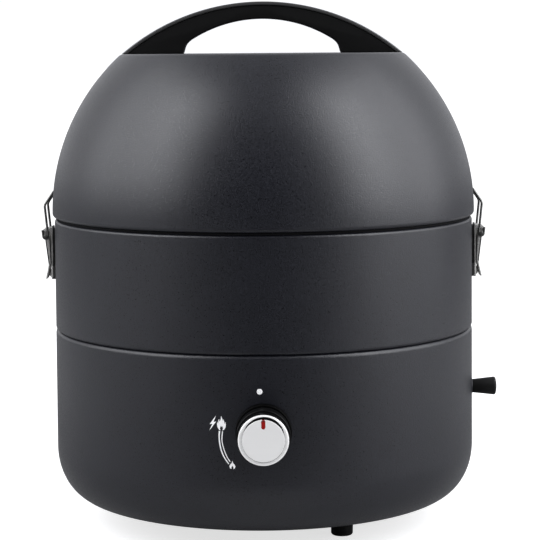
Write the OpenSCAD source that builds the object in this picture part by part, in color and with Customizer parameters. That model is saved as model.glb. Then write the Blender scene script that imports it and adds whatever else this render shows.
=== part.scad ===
// Portable gas grill with a domed lid, two side latches and one control knob.
// Millimetres. Z points up from the floor that the feet stand on, the knob faces -Y,
// and the gas inlet leaves at +X. The origin is on the body's axis, at floor level.

/* [Shells] */
// Outside radius of the bowl and of the band
body_r = 175; // [173:0.5:178]
// Wall of the bowl, the band and the lid
shell_t = 2; // [1.6:0.1:2.4]
// Height of the lower bowl
bowl_h = 141; // [136:1:150]
// Width of the bowl's curved bottom edge
bowl_edge_w = 30; // [26:0.5:38]
// Height of the bowl's curved bottom edge
bowl_edge_h = 42; // [36:0.5:50]
// Height of the band above the bowl
band_h = 90.8; // [84:0.2:94]
// Radius of the rounded lips at the groove between bowl and band
groove_r = 2.8; // [2.1:0.1:3]
// Radius of the band's rounded top edge
band_edge_r = 2.75; // [2.5:0.25:5]
// Width of the two flanges that meet at the groove
joint_flange_w = 10; // [9:0.5:12]
// Width of the band's top flange
band_flange_w = 23; // [21:0.25:23]

/* [Lid] */
// How far the dome's widest line stands out past the band
lid_overhang = 1.8; // [1:0.2:4]
// Height from the dome's lower edge to its flat top
lid_h = 134.6; // [131:0.2:139]
// Height of the straight skirt under the dome
skirt_h = 3.2; // [3:0.2:8]
// Radius of the rounded lower edge
lid_edge_r = 3; // [2.5:0.25:4]
// Radius of the rounded edge round the flat top
crown_edge_r = 4; // [3:0.5:6]
// Visible gap between lid and band
rim_gap = 2.6; // [2.2:0.1:3.4]
// Width of the lid's lower flange
lid_flange_w = 13.3; // [12:0.1:14]

/* [Handle] */
// Height of the handle above the flat top
handle_h = 43; // [40:1:50]
// How far the handle's ends reach past the flat top
handle_end_reach = 0.6; // [0:0.1:1]
// Height of the finger gap at its middle
finger_gap_h = 28.8; // [26:0.2:31]
// Half width of the finger gap where its arch starts
finger_gap_half_w = 61.4; // [56:0.2:66]
// Width of the handle from front to back
handle_w = 26; // [22:1:32]
// Thickness of the strap over the handle
strap_t = 3; // [2:0.25:4]
// Distance of the handle's screws from its ends
handle_screw_inset = 29; // [25:0.5:33]

/* [Feet] */
// Height of a foot
foot_h = 22; // [18:1:28]
// Radius of a foot
foot_r = 9.25; // [8:0.25:11]
// Distance of the feet from the axis
foot_ring_r = 97; // [85:1:110]
// Angle of the first foot from the front, towards the right
foot_angle = 40; // [30:1:50]

/* [Knob] */
// Height of the knob's axis above the floor
knob_z = 105.3; // [98:0.1:112]
// Radius of the knob's silver cap
knob_r = 19.4; // [18:0.2:21]
// How far the knob's face stands off the wall
knob_reach = 36.9; // [34:0.1:40]
// Radius of the black ring behind the knob
bezel_r = 21.15; // [20.5:0.05:23]
// Thickness of the black ring
bezel_t = 6.4; // [5:0.2:8]
// How far the knob can be pressed
press_travel = 3; // [2:0.5:3]

/* [Gas line] */
// Height of the gas inlet above the knob's axis
inlet_rise = 2.7; // [0:0.1:4]
// Length of the inlet's cap
cap_len = 20.4; // [18:0.2:24]
// Radius of the cap at its outer end
cap_r = 7.6; // [7:0.1:9]
// Radius of the hose tail
tail_r = 4.2; // [3.6:0.1:4.4]
// Radius of the gas pipe
pipe_r = 4; // [3:0.25:4.5]
// Distance from the bowl's outside to the pipe that runs round in it
pipe_inset = 27; // [25:0.5:31]
// Outside radius of the mixing tube
tube_r = 11; // [9:0.5:12]

/* [Fire bowl and burner] */
// Distance from the body's outside to the inside of the fire bowl
fire_inset = 25; // [25:0.25:27]
// Wall of the fire bowl
fire_t = 1.2; // [1:0.1:1.5]
// Depth of the fire bowl under its flange
fire_depth = 111.6; // [104:0.2:114]
// Radius of the hole in the fire bowl's floor
fire_hole_r = 34; // [28:1:38]
// Radius of the burner
burner_r = 48; // [40:1:56]
// Number of flame ports
port_count = 24; // [12:4:32]
// Radius of the heat plate
heat_plate_r = 92; // [80:1:100]

/* [Grate] */
// Distance from the fire bowl's wall to the grate's ring
grate_gap = 6; // [5:0.5:9]
// Radius of the ring's rod
grate_ring_rod_r = 3; // [2.5:0.25:3.5]
// Radius of the bars
grate_bar_r = 2.2; // [1.8:0.1:2.5]
// Spacing of the bars
grate_pitch = 14; // [12:1:18]
// Depth of the grate's seat below the rim
grate_seat_depth = 14; // [12:1:18]

/* [Latches] */
// Height of the lever's pivot above the band's foot
latch_pivot_h = 80; // [78.5:0.5:80.5]
// How far the lever's pivot stands off the wall
latch_pivot_reach = 8.4; // [8.2:0.1:9]
// Width of the latch plate
latch_plate_w = 16; // [15:0.5:17]
// Thickness of the latch's sheet parts
latch_sheet_t = 1.4; // [1.2:0.1:1.5]
// Radius of the bail's wire
wire_r = 1; // [0.9:0.05:1.1]
// Half width of the bail, to the middle of its wire
bail_half_w = 11.5; // [11.5:0.1:12]
// Depth that the bail's bar reaches behind the lid's surface
hook_depth = 1.4; // [1.2:0.1:1.5]

/* [Hidden] */
$fn = 64;

// Clearances
fit_gap = 0.05;
seat_gap = 0.3;
slip_gap = 0.3;
curve_gap = 0.15;

// Colours
paint = [0.24, 0.25, 0.27];
black = [0.07, 0.07, 0.07];
steel = [0.72, 0.72, 0.72];
dark_steel = [0.35, 0.35, 0.35];
brass = [0.75, 0.6, 0.3];
iron = [0.16, 0.16, 0.16];
ceramic = [0.92, 0.9, 0.86];

// Heights of the shells
bowl_z = foot_h;
joint_z = bowl_z + bowl_h;
band_top_z = joint_z + band_h;
lid_z = band_top_z + rim_gap;
dome_z = lid_z + skirt_h;
crown_z = lid_z + lid_h;

// Radii and places that follow from the driving sizes
band_mouth_r = body_r - band_flange_w;
lid_r = body_r + lid_overhang;
lid_mouth_r = lid_r - lid_flange_w;
dome_top_angle = asin((crown_z - crown_edge_r - dome_z) / (lid_r - crown_edge_r));
crown_r = (lid_r - crown_edge_r) * cos(dome_top_angle);
fire_r = body_r - fire_inset;
grate_r = fire_r - grate_gap;
pipe_ring_r = body_r - pipe_inset;
inlet_z = knob_z + inlet_rise;

// Arcs as lists of points, for outlines
function arc(c, r, a0, a1, n = 8) =
    [for (i = [0 : n]) c + r * [cos(a0 + (a1 - a0) * i / n), sin(a0 + (a1 - a0) * i / n)]];

function ellipse_arc(c, a, b, a0, a1, n = 16) =
    [for (i = [0 : n]) c + [a * cos(a0 + (a1 - a0) * i / n), b * sin(a0 + (a1 - a0) * i / n)]];

// A straight rod from point p to point q
module rod(p, q, r) {
    v = q - p;
    length = norm(v);
    translate(p)
        rotate([0, acos(v[2] / length), atan2(v[1], v[0])])
            cylinder(h = length, r = r);
}

// A wire of radius r swept along a list of points, whose rings turn with the path
function unit(v) = v / norm(v);

function path_directions(p) =
    let (last = len(p) - 1)
    [for (i = [0 : last]) unit(
        (i < last ? unit(p[i + 1] - p[i]) : [0, 0, 0]) + (i > 0 ? unit(p[i] - p[i - 1]) : [0, 0, 0])
    )];

function carried_normals(directions, n, i = 0) =
    i == len(directions) ? [] :
    let (m = unit(n - (n * directions[i]) * directions[i]))
    concat([m], carried_normals(directions, m, i + 1));

module wire(path, r, first_normal, sides = 10) {
    directions = path_directions(path);
    normals = carried_normals(directions, first_normal);
    rings = len(path);
    points = [for (i = [0 : rings - 1], k = [0 : sides - 1])
        path[i] + r * (cos(360 * k / sides) * normals[i]
            + sin(360 * k / sides) * cross(directions[i], normals[i]))];
    skin = [for (i = [0 : rings - 2], k = [0 : sides - 1])
        let (next = (k + 1) % sides, a = i * sides, b = a + sides)
        [a + k, b + k, b + next, a + next]];
    ends = [[for (k = [0 : sides - 1]) k],
        [for (k = [sides - 1 : -1 : 0]) (rings - 1) * sides + k]];
    polyhedron(points, concat(skin, ends));
}

// Points of a rounded corner of radius r, from the line a-b into the line b-c
function corner(a, b, c, r, n = 5) =
    let (u = unit(a - b), v = unit(c - b), half = acos(u * v) / 2,
        reach = r / tan(half), centre = b + unit(u + v) * r / sin(half),
        start = unit(b + u * reach - centre), turn = 180 - 2 * half)
    [for (i = [0 : n]) centre + r * (cos(turn * i / n) * start - sin(turn * i / n) * u)];

// A pan head screw that stands on its head's underside at z = 0, shank down
module screw(shank_r, shank_len, head_r, head_t) {
    cylinder(h = head_t, r = head_r);
    translate([0, 0, -shank_len]) cylinder(h = shank_len, r = shank_r);
}

// Copies of the children on a ring round the body's axis
module on_ring(r, count, start = 0) {
    for (i = [0 : count - 1])
        rotate([0, 0, start + 360 * i / count]) translate([r, 0, 0]) children();
}

// Children are drawn along +Z and come out along -Y, from the knob's axis at the body's axis
module facing_front() {
    translate([0, 0, knob_z]) rotate([90, 0, 0]) children();
}

// Lower bowl
vent_count = 12;
vent_ring_r = 62;
vent_len = 26;
vent_w = 6;
foot_screw_r = 2.5;
foot_screw_len = 13;
joint_screw_r = 2;
joint_screw_len = 8;
joint_screw_ring_r = body_r - joint_flange_w + 4;
collar_r = 12;
collar_bore_r = 9;
wall_hole_r = collar_r + 1.6;
grommet_r = 6.6;
foot_angles = [for (i = [0 : 2]) -90 + foot_angle + 120 * i];

module bowl_outline() {
    edge = [body_r - bowl_edge_w, bowl_z + bowl_edge_h];
    polygon(concat(
        [[0, bowl_z]],
        ellipse_arc(edge, bowl_edge_w, bowl_edge_h, -90, 0, 20),
        arc([body_r - groove_r, joint_z - groove_r], groove_r, 0, 90, 6),
        [[body_r - joint_flange_w, joint_z], [body_r - joint_flange_w, joint_z - shell_t],
         [body_r - shell_t, joint_z - shell_t]],
        ellipse_arc(edge, bowl_edge_w - shell_t, bowl_edge_h - shell_t, 0, -90, 20),
        [[0, bowl_z + shell_t]]
    ));
}

module lower_bowl() {
    color(paint) difference() {
        rotate_extrude($fn = 128) bowl_outline();
        facing_front()
            translate([0, 0, body_r - 10]) cylinder(h = 20, r = wall_hole_r);
        translate([body_r - 10, 0, inlet_z])
            rotate([0, 90, 0]) cylinder(h = 20, r = grommet_r - 1.4 + fit_gap);
        for (a = foot_angles)
            rotate([0, 0, a]) translate([foot_ring_r, 0, bowl_z - 1])
                cylinder(h = shell_t + 2, r = foot_screw_r + fit_gap);
        on_ring(joint_screw_ring_r, 4, 45)
            translate([0, 0, joint_z - shell_t - 1])
                cylinder(h = shell_t + 2, r = joint_screw_r + fit_gap);
        on_ring(vent_ring_r, vent_count)
            translate([-vent_len / 2, -vent_w / 2, bowl_z - 1])
                cube([vent_len, vent_w, shell_t + 2]);
    }
}

// Band between the bowl and the rim
spigot_t = 1.6;
spigot_h = 8;
fire_flange_w = 11.2;
fire_screw_ring_r = fire_r + fire_flange_w / 2;
fire_screw_r = 2;
fire_screw_len = 9;

module band_outline() {
    spigot_r = body_r - joint_flange_w - slip_gap;
    polygon(concat(
        [[body_r - joint_flange_w - spigot_t, joint_z + shell_t],
         [spigot_r - spigot_t, joint_z - spigot_h], [spigot_r, joint_z - spigot_h],
         [spigot_r, joint_z]],
        arc([body_r - groove_r, joint_z + groove_r], groove_r, -90, 0, 6),
        arc([body_r - band_edge_r, band_top_z - band_edge_r], band_edge_r, 0, 90, 8),
        [[band_mouth_r, band_top_z], [band_mouth_r, band_top_z - shell_t]],
        arc([body_r - band_edge_r, band_top_z - band_edge_r], band_edge_r - shell_t, 90, 0, 6),
        [[body_r - shell_t, joint_z + shell_t]]
    ));
}

module base_band() {
    color(paint) difference() {
        rotate_extrude($fn = 128) band_outline();
        on_ring(joint_screw_ring_r, 4, 45)
            translate([0, 0, joint_z - 1]) cylinder(h = shell_t + 2, r = joint_screw_r + fit_gap);
        on_ring(fire_screw_ring_r, 4, 45)
            translate([0, 0, band_top_z - shell_t - 1])
                cylinder(h = shell_t + 2, r = fire_screw_r + fit_gap);
        for (s = [-1, 1])
            translate([s * body_r, 0, rivet_z]) rotate([0, 90, 0])
                cylinder(h = 20, r = rivet_r + fit_gap, center = true);
    }
}

module band_screws() {
    color(steel) on_ring(joint_screw_ring_r, 4, 45)
        translate([0, 0, joint_z + shell_t]) screw(joint_screw_r, joint_screw_len, 3.6, 2.4);
}

// Feet
module foot(angle) {
    edge = 2;
    socket_r = 4;
    color(black) rotate([0, 0, angle]) translate([foot_ring_r, 0, 0]) difference() {
        rotate_extrude($fn = 64) polygon(concat(
            [[0, 0]], arc([foot_r - edge, edge], edge, -90, 0, 6),
            [[foot_r, foot_h], [0, foot_h]]
        ));
        translate([0, 0, foot_h - foot_screw_len])
            cylinder(h = foot_screw_len + 1, r = foot_screw_r + fit_gap);
        translate([0, 0, -1]) cylinder(h = 4, r = socket_r);
    }
}

module foot_front_right() { foot(foot_angles[0]); }
module foot_back() { foot(foot_angles[1]); }
module foot_left() { foot(foot_angles[2]); }

module foot_screws() {
    color(steel) for (a = foot_angles)
        rotate([0, 0, a]) translate([foot_ring_r, 0, bowl_z + shell_t])
            screw(foot_screw_r, foot_screw_len, 4.6, 2.8);
}

// Fire bowl, hung by its flange on the band
fire_floor_z = band_top_z - fire_depth;
fire_edge_w = 56;
fire_edge_h = 50;
hole_rise = 10;
hole_slope_w = 16;
collar_rise = 7.4;

module fire_bowl_outline() {
    c = [fire_r - fire_edge_w, fire_floor_z + fire_edge_h];
    flange_r = fire_r + fire_flange_w;
    floor_z = fire_floor_z;
    slope_r = fire_hole_r + hole_slope_w;
    polygon(concat(
        [[fire_hole_r, floor_z + hole_rise], [slope_r, floor_z]],
        ellipse_arc(c, fire_edge_w + fire_t, fire_edge_h, -90, 0, 14),
        [[fire_r + fire_t, band_top_z], [flange_r, band_top_z],
         [flange_r, band_top_z + collar_rise], [flange_r - fire_t, band_top_z + collar_rise],
         [flange_r - fire_t, band_top_z + fire_t], [fire_r, band_top_z + fire_t]],
        ellipse_arc(c, fire_edge_w, fire_edge_h - fire_t, 0, -90, 14),
        [[slope_r, floor_z + fire_t], [fire_hole_r, floor_z + hole_rise + fire_t]]
    ));
}

module fire_bowl() {
    color(steel) difference() {
        rotate_extrude($fn = 128) fire_bowl_outline();
        on_ring(fire_screw_ring_r, 4, 45)
            translate([0, 0, band_top_z - 1]) cylinder(h = fire_t + 2, r = fire_screw_r + fit_gap);
        on_ring(bracket_screw_r, 3, 30)
            translate([0, 0, fire_floor_z - 1]) cylinder(h = fire_t + 2, r = burner_screw_r + fit_gap);
        translate(electrode_pos + [0, 0, -20]) cylinder(h = 30, r = electrode_r + fit_gap);
    }
}

module fire_bowl_screws() {
    color(steel) on_ring(fire_screw_ring_r, 4, 45)
        translate([0, 0, band_top_z + fire_t]) screw(fire_screw_r, fire_screw_len, 3.8, 2.2);
}

// Brackets inside the fire bowl that carry the grate
grate_seat_z = band_top_z - grate_seat_depth;
grate_bracket_w = 16;

module grate_brackets() {
    reach = 10;
    drop = 12;
    color(steel) on_ring(0, 4, 45) intersection() {
        difference() {
            translate([fire_r - reach, -grate_bracket_w / 2, grate_seat_z - drop])
                cube([reach + 1, grate_bracket_w, drop]);
            translate([fire_r - reach - 1, -grate_bracket_w / 2 - 1, grate_seat_z - drop - fire_t])
                cube([reach - fire_t, grate_bracket_w + 2, drop]);
        }
        cylinder(h = lid_z, r = fire_r - curve_gap, $fn = 360);
    }
}

// Heat-proof ring that the lid comes down on
seal_inset = 3;
seal_w = 4.5;

module rim_seal() {
    color(black) rotate_extrude($fn = 128)
        translate([lid_mouth_r + seal_inset, band_top_z]) square([seal_w, rim_gap - seat_gap]);
}

// Cooking grate
grate_z = grate_seat_z + grate_ring_rod_r + seat_gap;
grate_cross_y = 60;
grate_cross_r = 2.5;

module cooking_grate() {
    bars = floor((grate_r - 8) / grate_pitch);
    cross_z = grate_z - grate_bar_r - grate_cross_r + 0.6;
    cross_x = sqrt(grate_r * grate_r - grate_cross_y * grate_cross_y) - 14;
    color(iron) union() {
        translate([0, 0, grate_z])
            rotate_extrude($fn = 96) translate([grate_r, 0]) circle(r = grate_ring_rod_r, $fn = 24);
        for (i = [-bars : bars]) {
            x = i * grate_pitch;
            half = sqrt(grate_r * grate_r - x * x);
            rod([x, -half, grate_z], [x, half, grate_z], grate_bar_r, $fn = 20);
        }
        for (y = [-grate_cross_y, grate_cross_y])
            rod([-cross_x, y, cross_z], [cross_x, y, cross_z], grate_cross_r, $fn = 20);
    }
}

// Heat plate over the burner, on three legs
heat_plate_lift = 56;
heat_plate_z = fire_floor_z + heat_plate_lift;
heat_plate_rise = 8;
heat_leg_ring_r = 74;

module heat_plate() {
    t = 1.5;
    leg_r = 3;
    foot_z = fire_floor_z + fire_t + fit_gap;
    underside_z = heat_plate_z + heat_plate_rise * (1 - heat_leg_ring_r / heat_plate_r);
    color(dark_steel) union() {
        rotate_extrude($fn = 96) polygon([
            [0, heat_plate_z + heat_plate_rise], [heat_plate_r, heat_plate_z],
            [heat_plate_r, heat_plate_z + t], [0, heat_plate_z + heat_plate_rise + t]
        ]);
        on_ring(heat_leg_ring_r, 3, 90)
            translate([0, 0, foot_z])
                cylinder(h = underside_z + t / 2 - foot_z, r = leg_r, $fn = 32);
    }
}

// Burner head, its cap and the tube that feeds it
burner_lift = 22;
burner_z = fire_floor_z + burner_lift;
burner_h = 16;
burner_wall = 1.5;
tube_t = 1.2;

module burner_head() {
    port_r = 1.1;
    inner_r = burner_r - burner_wall;
    color(steel) difference() {
        union() {
            translate([0, 0, burner_z]) cylinder(h = burner_h, r = burner_r);
            translate([0, 0, burner_z - 8]) cylinder(h = 9, r = tube_r + 2);
        }
        translate([0, 0, burner_z + burner_wall]) cylinder(h = burner_h, r = inner_r);
        translate([0, 0, burner_z - 9]) cylinder(h = 12, r = tube_r + fit_gap);
        for (i = [0 : port_count - 1])
            rotate([0, 0, 360 * i / port_count])
                translate([inner_r - 2, 0, burner_z + burner_h - 5])
                    rotate([0, 90, 0]) cylinder(h = 6, r = port_r, $fn = 16);
    }
}

module burner_cap() {
    t = 2;
    lip = 3;
    color(brass) union() {
        translate([0, 0, burner_z + burner_h]) cylinder(h = t, r = burner_r + 1);
        translate([0, 0, burner_z + burner_h - lip]) difference() {
            cylinder(h = lip + 0.5, r = burner_r - burner_wall - slip_gap);
            translate([0, 0, -1]) cylinder(h = lip + 1, r = burner_r - burner_wall - slip_gap - 1.5);
        }
    }
}

elbow_r = 26;
valve_inset = 13;
valve_face = body_r - valve_inset;
valve_len = 24;
valve_neck_len = 6;
jet_seat = valve_face - valve_len - valve_neck_len;
mouth_gap = 4;
tube_mouth_y = mouth_gap - jet_seat;

module mixing_tube() {
    bell_r = tube_r + 5;
    bell_len = 9;
    turn_z = knob_z + elbow_r;
    color(dark_steel) union() {
        translate([0, 0, turn_z]) tube_piece(burner_z - 1 - turn_z, tube_r, tube_r - tube_t);
        translate([0, -elbow_r, turn_z]) rotate([90, 90, 90]) rotate_extrude(angle = 90)
            translate([elbow_r, 0]) difference() {
                circle(r = tube_r);
                circle(r = tube_r - tube_t);
            }
        facing_front() translate([0, 0, elbow_r])
            tube_piece(-tube_mouth_y - elbow_r - bell_len, tube_r, tube_r - tube_t);
        facing_front() rotate_extrude() polygon([
            [tube_r - tube_t, -tube_mouth_y - bell_len], [tube_r, -tube_mouth_y - bell_len],
            [bell_r, -tube_mouth_y], [bell_r - tube_t, -tube_mouth_y]
        ]);
    }
}

module tube_piece(h, r_out, r_in) {
    difference() {
        cylinder(h = h, r = r_out);
        translate([0, 0, -1]) cylinder(h = h + 2, r = r_in);
    }
}

// Slotted sleeve at the tube's mouth that sets the air
module air_shutter() {
    len = 16;
    start = -tube_mouth_y - 12 - len;
    color(steel) facing_front() translate([0, 0, start]) difference() {
        tube_piece(len, tube_r + 1.2, tube_r + fit_gap);
        for (a = [0, 180])
            rotate([0, 0, a]) translate([tube_r - 2, -3, 4]) cube([6, 6, 8]);
    }
}

// Strap that hangs the burner from the fire bowl's floor
bracket_screw_r = fire_hole_r + hole_slope_w + 10;
burner_screw_r = 2;
burner_screw_len = 7;
bracket_t = 2;

module burner_bracket() {
    ring_r = tube_r + 6;
    arm_w = 14;
    color(steel) difference() {
        translate([0, 0, fire_floor_z - bracket_t]) union() {
            cylinder(h = bracket_t, r = ring_r);
            on_ring(0, 3, 30) translate([0, -arm_w / 2, 0]) cube([bracket_screw_r, arm_w, bracket_t]);
            on_ring(bracket_screw_r, 3, 30) cylinder(h = bracket_t, r = arm_w / 2);
        }
        translate([0, 0, fire_floor_z - bracket_t - 1])
            cylinder(h = bracket_t + 2, r = tube_r + fit_gap);
        on_ring(bracket_screw_r, 3, 30)
            translate([0, 0, fire_floor_z - bracket_t - 1])
                cylinder(h = bracket_t + 2, r = burner_screw_r + fit_gap);
    }
}

module burner_screws() {
    color(steel) on_ring(bracket_screw_r, 3, 30)
        translate([0, 0, fire_floor_z + fire_t]) screw(burner_screw_r, burner_screw_len, 3.6, 2);
}

// Gas valve behind the wall, with the spark button's box on top of it
piezo_back = valve_face - 18;
piezo_z = 17;
valve_body_r = 14;
stem_r = 4;
stem_flat = 2.6;
stem_bore_depth = 16;
hub_bore_depth = 12;

module gas_valve() {
    boss_r = 7;
    color(brass) difference() {
        union() {
            facing_front() translate([0, 0, valve_face - valve_len])
                cylinder(h = valve_len, r = valve_body_r);
            facing_front() translate([0, 0, jet_seat])
                cylinder(h = valve_neck_len + 2, r = 8);
            translate([0, -pipe_ring_r, knob_z]) rotate([0, 90, 0])
                cylinder(h = valve_port_x, r = boss_r);
            translate([-7, -valve_face + 4, knob_z + 8])
                cube([14, valve_face - 4 - piezo_back, piezo_z]);
        }
        facing_front() translate([0, 0, valve_face - stem_bore_depth])
            cylinder(h = stem_bore_depth + 4, r = stem_r + fit_gap);
    }
}

module valve_stem() {
    back = valve_face - stem_bore_depth + press_travel + seat_gap;
    front = body_r + knob_hub_back + hub_bore_depth - seat_gap;
    color(steel) facing_front() difference() {
        translate([0, 0, back]) cylinder(h = front - back, r = stem_r);
        translate([-stem_r - 1, stem_flat, body_r + knob_hub_back])
            cube([2 * stem_r + 2, stem_r, 40]);
    }
}

valve_bracket_w = 44;
valve_bracket_h = 40;

module valve_bracket() {
    t = 2;
    w = valve_bracket_w;
    h = valve_bracket_h;
    face = valve_face;
    side_len = sqrt(pow(body_r - shell_t - seat_gap, 2) - w * w / 4) - face;
    color(steel) difference() {
        facing_front() union() {
            translate([-w / 2, -h / 2, face]) cube([w, h, t]);
            for (s = [-1, 1])
                translate([s * (w / 2 - t / 2) - t / 2, -h / 2, face]) cube([t, h, side_len]);
        }
        facing_front() translate([0, 0, face - 1]) cylinder(h = t + 2, r = stem_r + 1.2);
    }
}

module gas_jet() {
    color(brass) facing_front() translate([0, 0, jet_seat])
        rotate([180, 0, 0]) union() {
            cylinder(h = 6, r = 4.6, $fn = 6);
            cylinder(h = 11, r = 2.4);
        }
}

// Gas pipe round the inside of the bowl, from the inlet to the valve
valve_port_x = 22;
pipe_start = -asin(9 / pipe_ring_r);
pipe_end = -90 + asin((valve_port_x + 1) / pipe_ring_r);

module gas_pipe() {
    color(brass) translate([0, 0, knob_z]) rotate([0, 0, pipe_end])
        rotate_extrude(angle = pipe_start - pipe_end, $fn = 128)
            translate([pipe_ring_r, 0]) circle(r = pipe_r, $fn = 24);
}

module pipe_nuts() {
    nut_r = 7.5;
    color(brass) difference() {
        union() {
            translate([valve_port_x + fit_gap, -pipe_ring_r, knob_z])
                rotate([0, 90, 0]) cylinder(h = 9, r = nut_r, $fn = 6);
            translate([pipe_ring_r, -8 - fit_gap, knob_z])
                rotate([90, 0, 0]) cylinder(h = 9, r = nut_r, $fn = 6);
        }
        translate([0, 0, knob_z]) rotate_extrude($fn = 128)
            translate([pipe_ring_r, 0]) circle(r = pipe_r + curve_gap, $fn = 24);
    }
}

// Gas inlet: block, hose tail, bracket, nut, grommet and cap
tail_end_x = body_r + 15;
inlet_plate_x = pipe_ring_r + 10;
plug_neck_r = 5.7;

module inlet_fitting() {
    color(brass) union() {
        translate([pipe_ring_r - 8, -8, knob_z - 8]) cube([16, 16, 16]);
        translate([pipe_ring_r + 2, 0, inlet_z]) rotate([0, 90, 0])
            cylinder(h = inlet_plate_x + 7 - pipe_ring_r - 2, r = 5);
        translate([inlet_plate_x, 0, inlet_z]) rotate([0, 90, 0])
            cylinder(h = tail_end_x - inlet_plate_x, r = tail_r);
        for (x = [tail_end_x - 8, tail_end_x - 4])
            translate([x, 0, inlet_z]) rotate([0, 90, 0])
                cylinder(h = 4, r1 = tail_r + 0.4, r2 = tail_r - 0.4);
    }
}

inlet_bracket_w = 30;
inlet_bracket_t = 1.6;

module inlet_bracket() {
    w = inlet_bracket_w;
    h = inlet_bracket_w;
    t = inlet_bracket_t;
    side_len = sqrt(pow(body_r - shell_t - seat_gap, 2) - w * w / 4) - inlet_plate_x;
    color(steel) difference() {
        translate([inlet_plate_x, -w / 2, inlet_z - h / 2]) union() {
            cube([t, w, h]);
            cube([side_len, t, h]);
            translate([0, w - t, 0]) cube([side_len, t, h]);
        }
        translate([inlet_plate_x - 1, 0, inlet_z]) rotate([0, 90, 0])
            cylinder(h = t + 2, r = 5 + fit_gap);
    }
}

module inlet_nut() {
    face = inlet_plate_x + inlet_bracket_t;
    color(steel) translate([face, 0, inlet_z]) rotate([0, 90, 0]) difference() {
        cylinder(h = 4, r = 8.5, $fn = 6);
        translate([0, 0, -1]) cylinder(h = 6, r = 5 + fit_gap);
    }
}

module inlet_grommet() {
    waist = grommet_r - 1.4;
    color(steel) translate([0, 0, inlet_z]) rotate([0, 90, 0]) difference() {
        union() {
            translate([0, 0, body_r - shell_t - 1.2]) cylinder(h = shell_t + 2, r = waist);
            translate([0, 0, body_r + fit_gap]) cylinder(h = 0.75, r = grommet_r);
        }
        translate([0, 0, body_r - 20]) cylinder(h = 40, r = tail_r + 0.5);
    }
}

module inlet_cap() {
    start = body_r + 1.1;
    end_edge = 1.6;
    dome = 0.7;
    neck = plug_neck_r;
    color(black) translate([start, 0, inlet_z]) rotate([0, 90, 0]) difference() {
        rotate_extrude() polygon(concat(
            [[0, 0], [neck, 0]],
            arc([cap_r - end_edge, cap_len - end_edge - dome], end_edge, 0, 90, 5),
            [[cap_r * 0.4, cap_len - 0.15], [0, cap_len]]
        ));
        translate([0, 0, -1])
            cylinder(h = tail_end_x - start + 1 + seat_gap, r = tail_r + 0.4 + fit_gap);
    }
}

// Spark electrode and its lead
electrode_r = 3;
electrode_pos = [-burner_r - 12, 0, fire_floor_z];

module igniter_electrode() {
    wire_z = 25;
    color(ceramic) union() {
        translate(electrode_pos + [0, 0, -8]) cylinder(h = wire_z + 9, r = electrode_r);
        translate(electrode_pos + [0, 0, -2 - fit_gap]) cylinder(h = 2, r = electrode_r + 2);
        translate(electrode_pos + [0, 0, wire_z]) cylinder(h = 8, r = 0.9, $fn = 16);
        translate(electrode_pos + [-0.9, -0.9, wire_z + 6]) cube([9, 1.8, 1.8]);
    }
}

module igniter_lead() {
    start = [-4, -piezo_back + fit_gap, knob_z + piezo_z];
    end = electrode_pos + [0, 0, -8 - fit_gap];
    low_z = end[2] - 12;
    turns = [start, start + [0, 8, 0], [-40, -92, low_z], [end[0], -30, low_z],
        [end[0], end[1], low_z], end];
    bends = [for (i = [1 : 4]) corner(turns[i - 1], turns[i], turns[i + 1], 6)];
    color(black) wire(
        concat([start], bends[0], bends[1], bends[2], bends[3], [end]), 1.4, [0, 0, 1], 8);
}

// Knob
knob_hub_back = -2;
skirt_start = bezel_t + press_travel + 1;
skirt_step = 22.5;
cap_t = 3.3;
cap_rim_w = 3.2;
face_r = 15.75;
face_t = 1.3;
pointer_w = 3.2;
pointer_len = 7.2;
pointer_y = 11.9;
key_w = 3;

module knob_bezel() {
    edge = 1;
    color(black) difference() {
        facing_front() rotate_extrude($fn = 96) polygon(concat(
            [[0, body_r - 4]], [[bezel_r, body_r - 4]],
            arc([bezel_r - edge, body_r + bezel_t - edge], edge, 0, 90, 4),
            [[0, body_r + bezel_t]]
        ));
        translate([0, 0, knob_z - 40]) cylinder(h = 80, r = body_r + fit_gap, $fn = 128);
        facing_front() translate([0, 0, body_r - 10]) cylinder(h = 30, r = collar_r + fit_gap);
        facing_front() translate([-key_w / 2 - slip_gap, 0, body_r - 10])
            cube([key_w + 2 * slip_gap, collar_r + 1.2 + slip_gap, 30]);
    }
}

module knob_collar() {
    back = -5;
    front = skirt_start - seat_gap;
    color(black) facing_front() translate([0, 0, body_r + back]) difference() {
        union() {
            cylinder(h = front - back, r = collar_r);
            translate([-key_w / 2, 0, 0]) cube([key_w, collar_r + 1.2, front - back]);
        }
        translate([0, 0, -1]) cylinder(h = 40, r = collar_bore_r + fit_gap);
    }
}

module knob_body() {
    hub_r = collar_bore_r;
    skirt_r = knob_r + 0.85;
    barrel_r = knob_r - 0.4;
    edge = 0.8;
    front = knob_reach - cap_t;
    color(black) facing_front() difference() {
        translate([0, 0, body_r]) rotate_extrude($fn = 96) polygon(concat(
            [[0, knob_hub_back], [hub_r, knob_hub_back], [hub_r, skirt_start]],
            arc([skirt_r - edge, skirt_start + edge], edge, -90, 0, 4),
            arc([skirt_r - edge, skirt_step - edge], edge, 0, 90, 4),
            [[barrel_r, skirt_step], [barrel_r, front], [0, front]]
        ));
        difference() {
            translate([0, 0, body_r + knob_hub_back - 1])
                cylinder(h = hub_bore_depth + 1, r = stem_r + fit_gap);
            translate([-stem_r - 1, stem_flat + fit_gap, body_r + knob_hub_back])
                cube([2 * stem_r + 2, stem_r, 40]);
        }
    }
}

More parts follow.
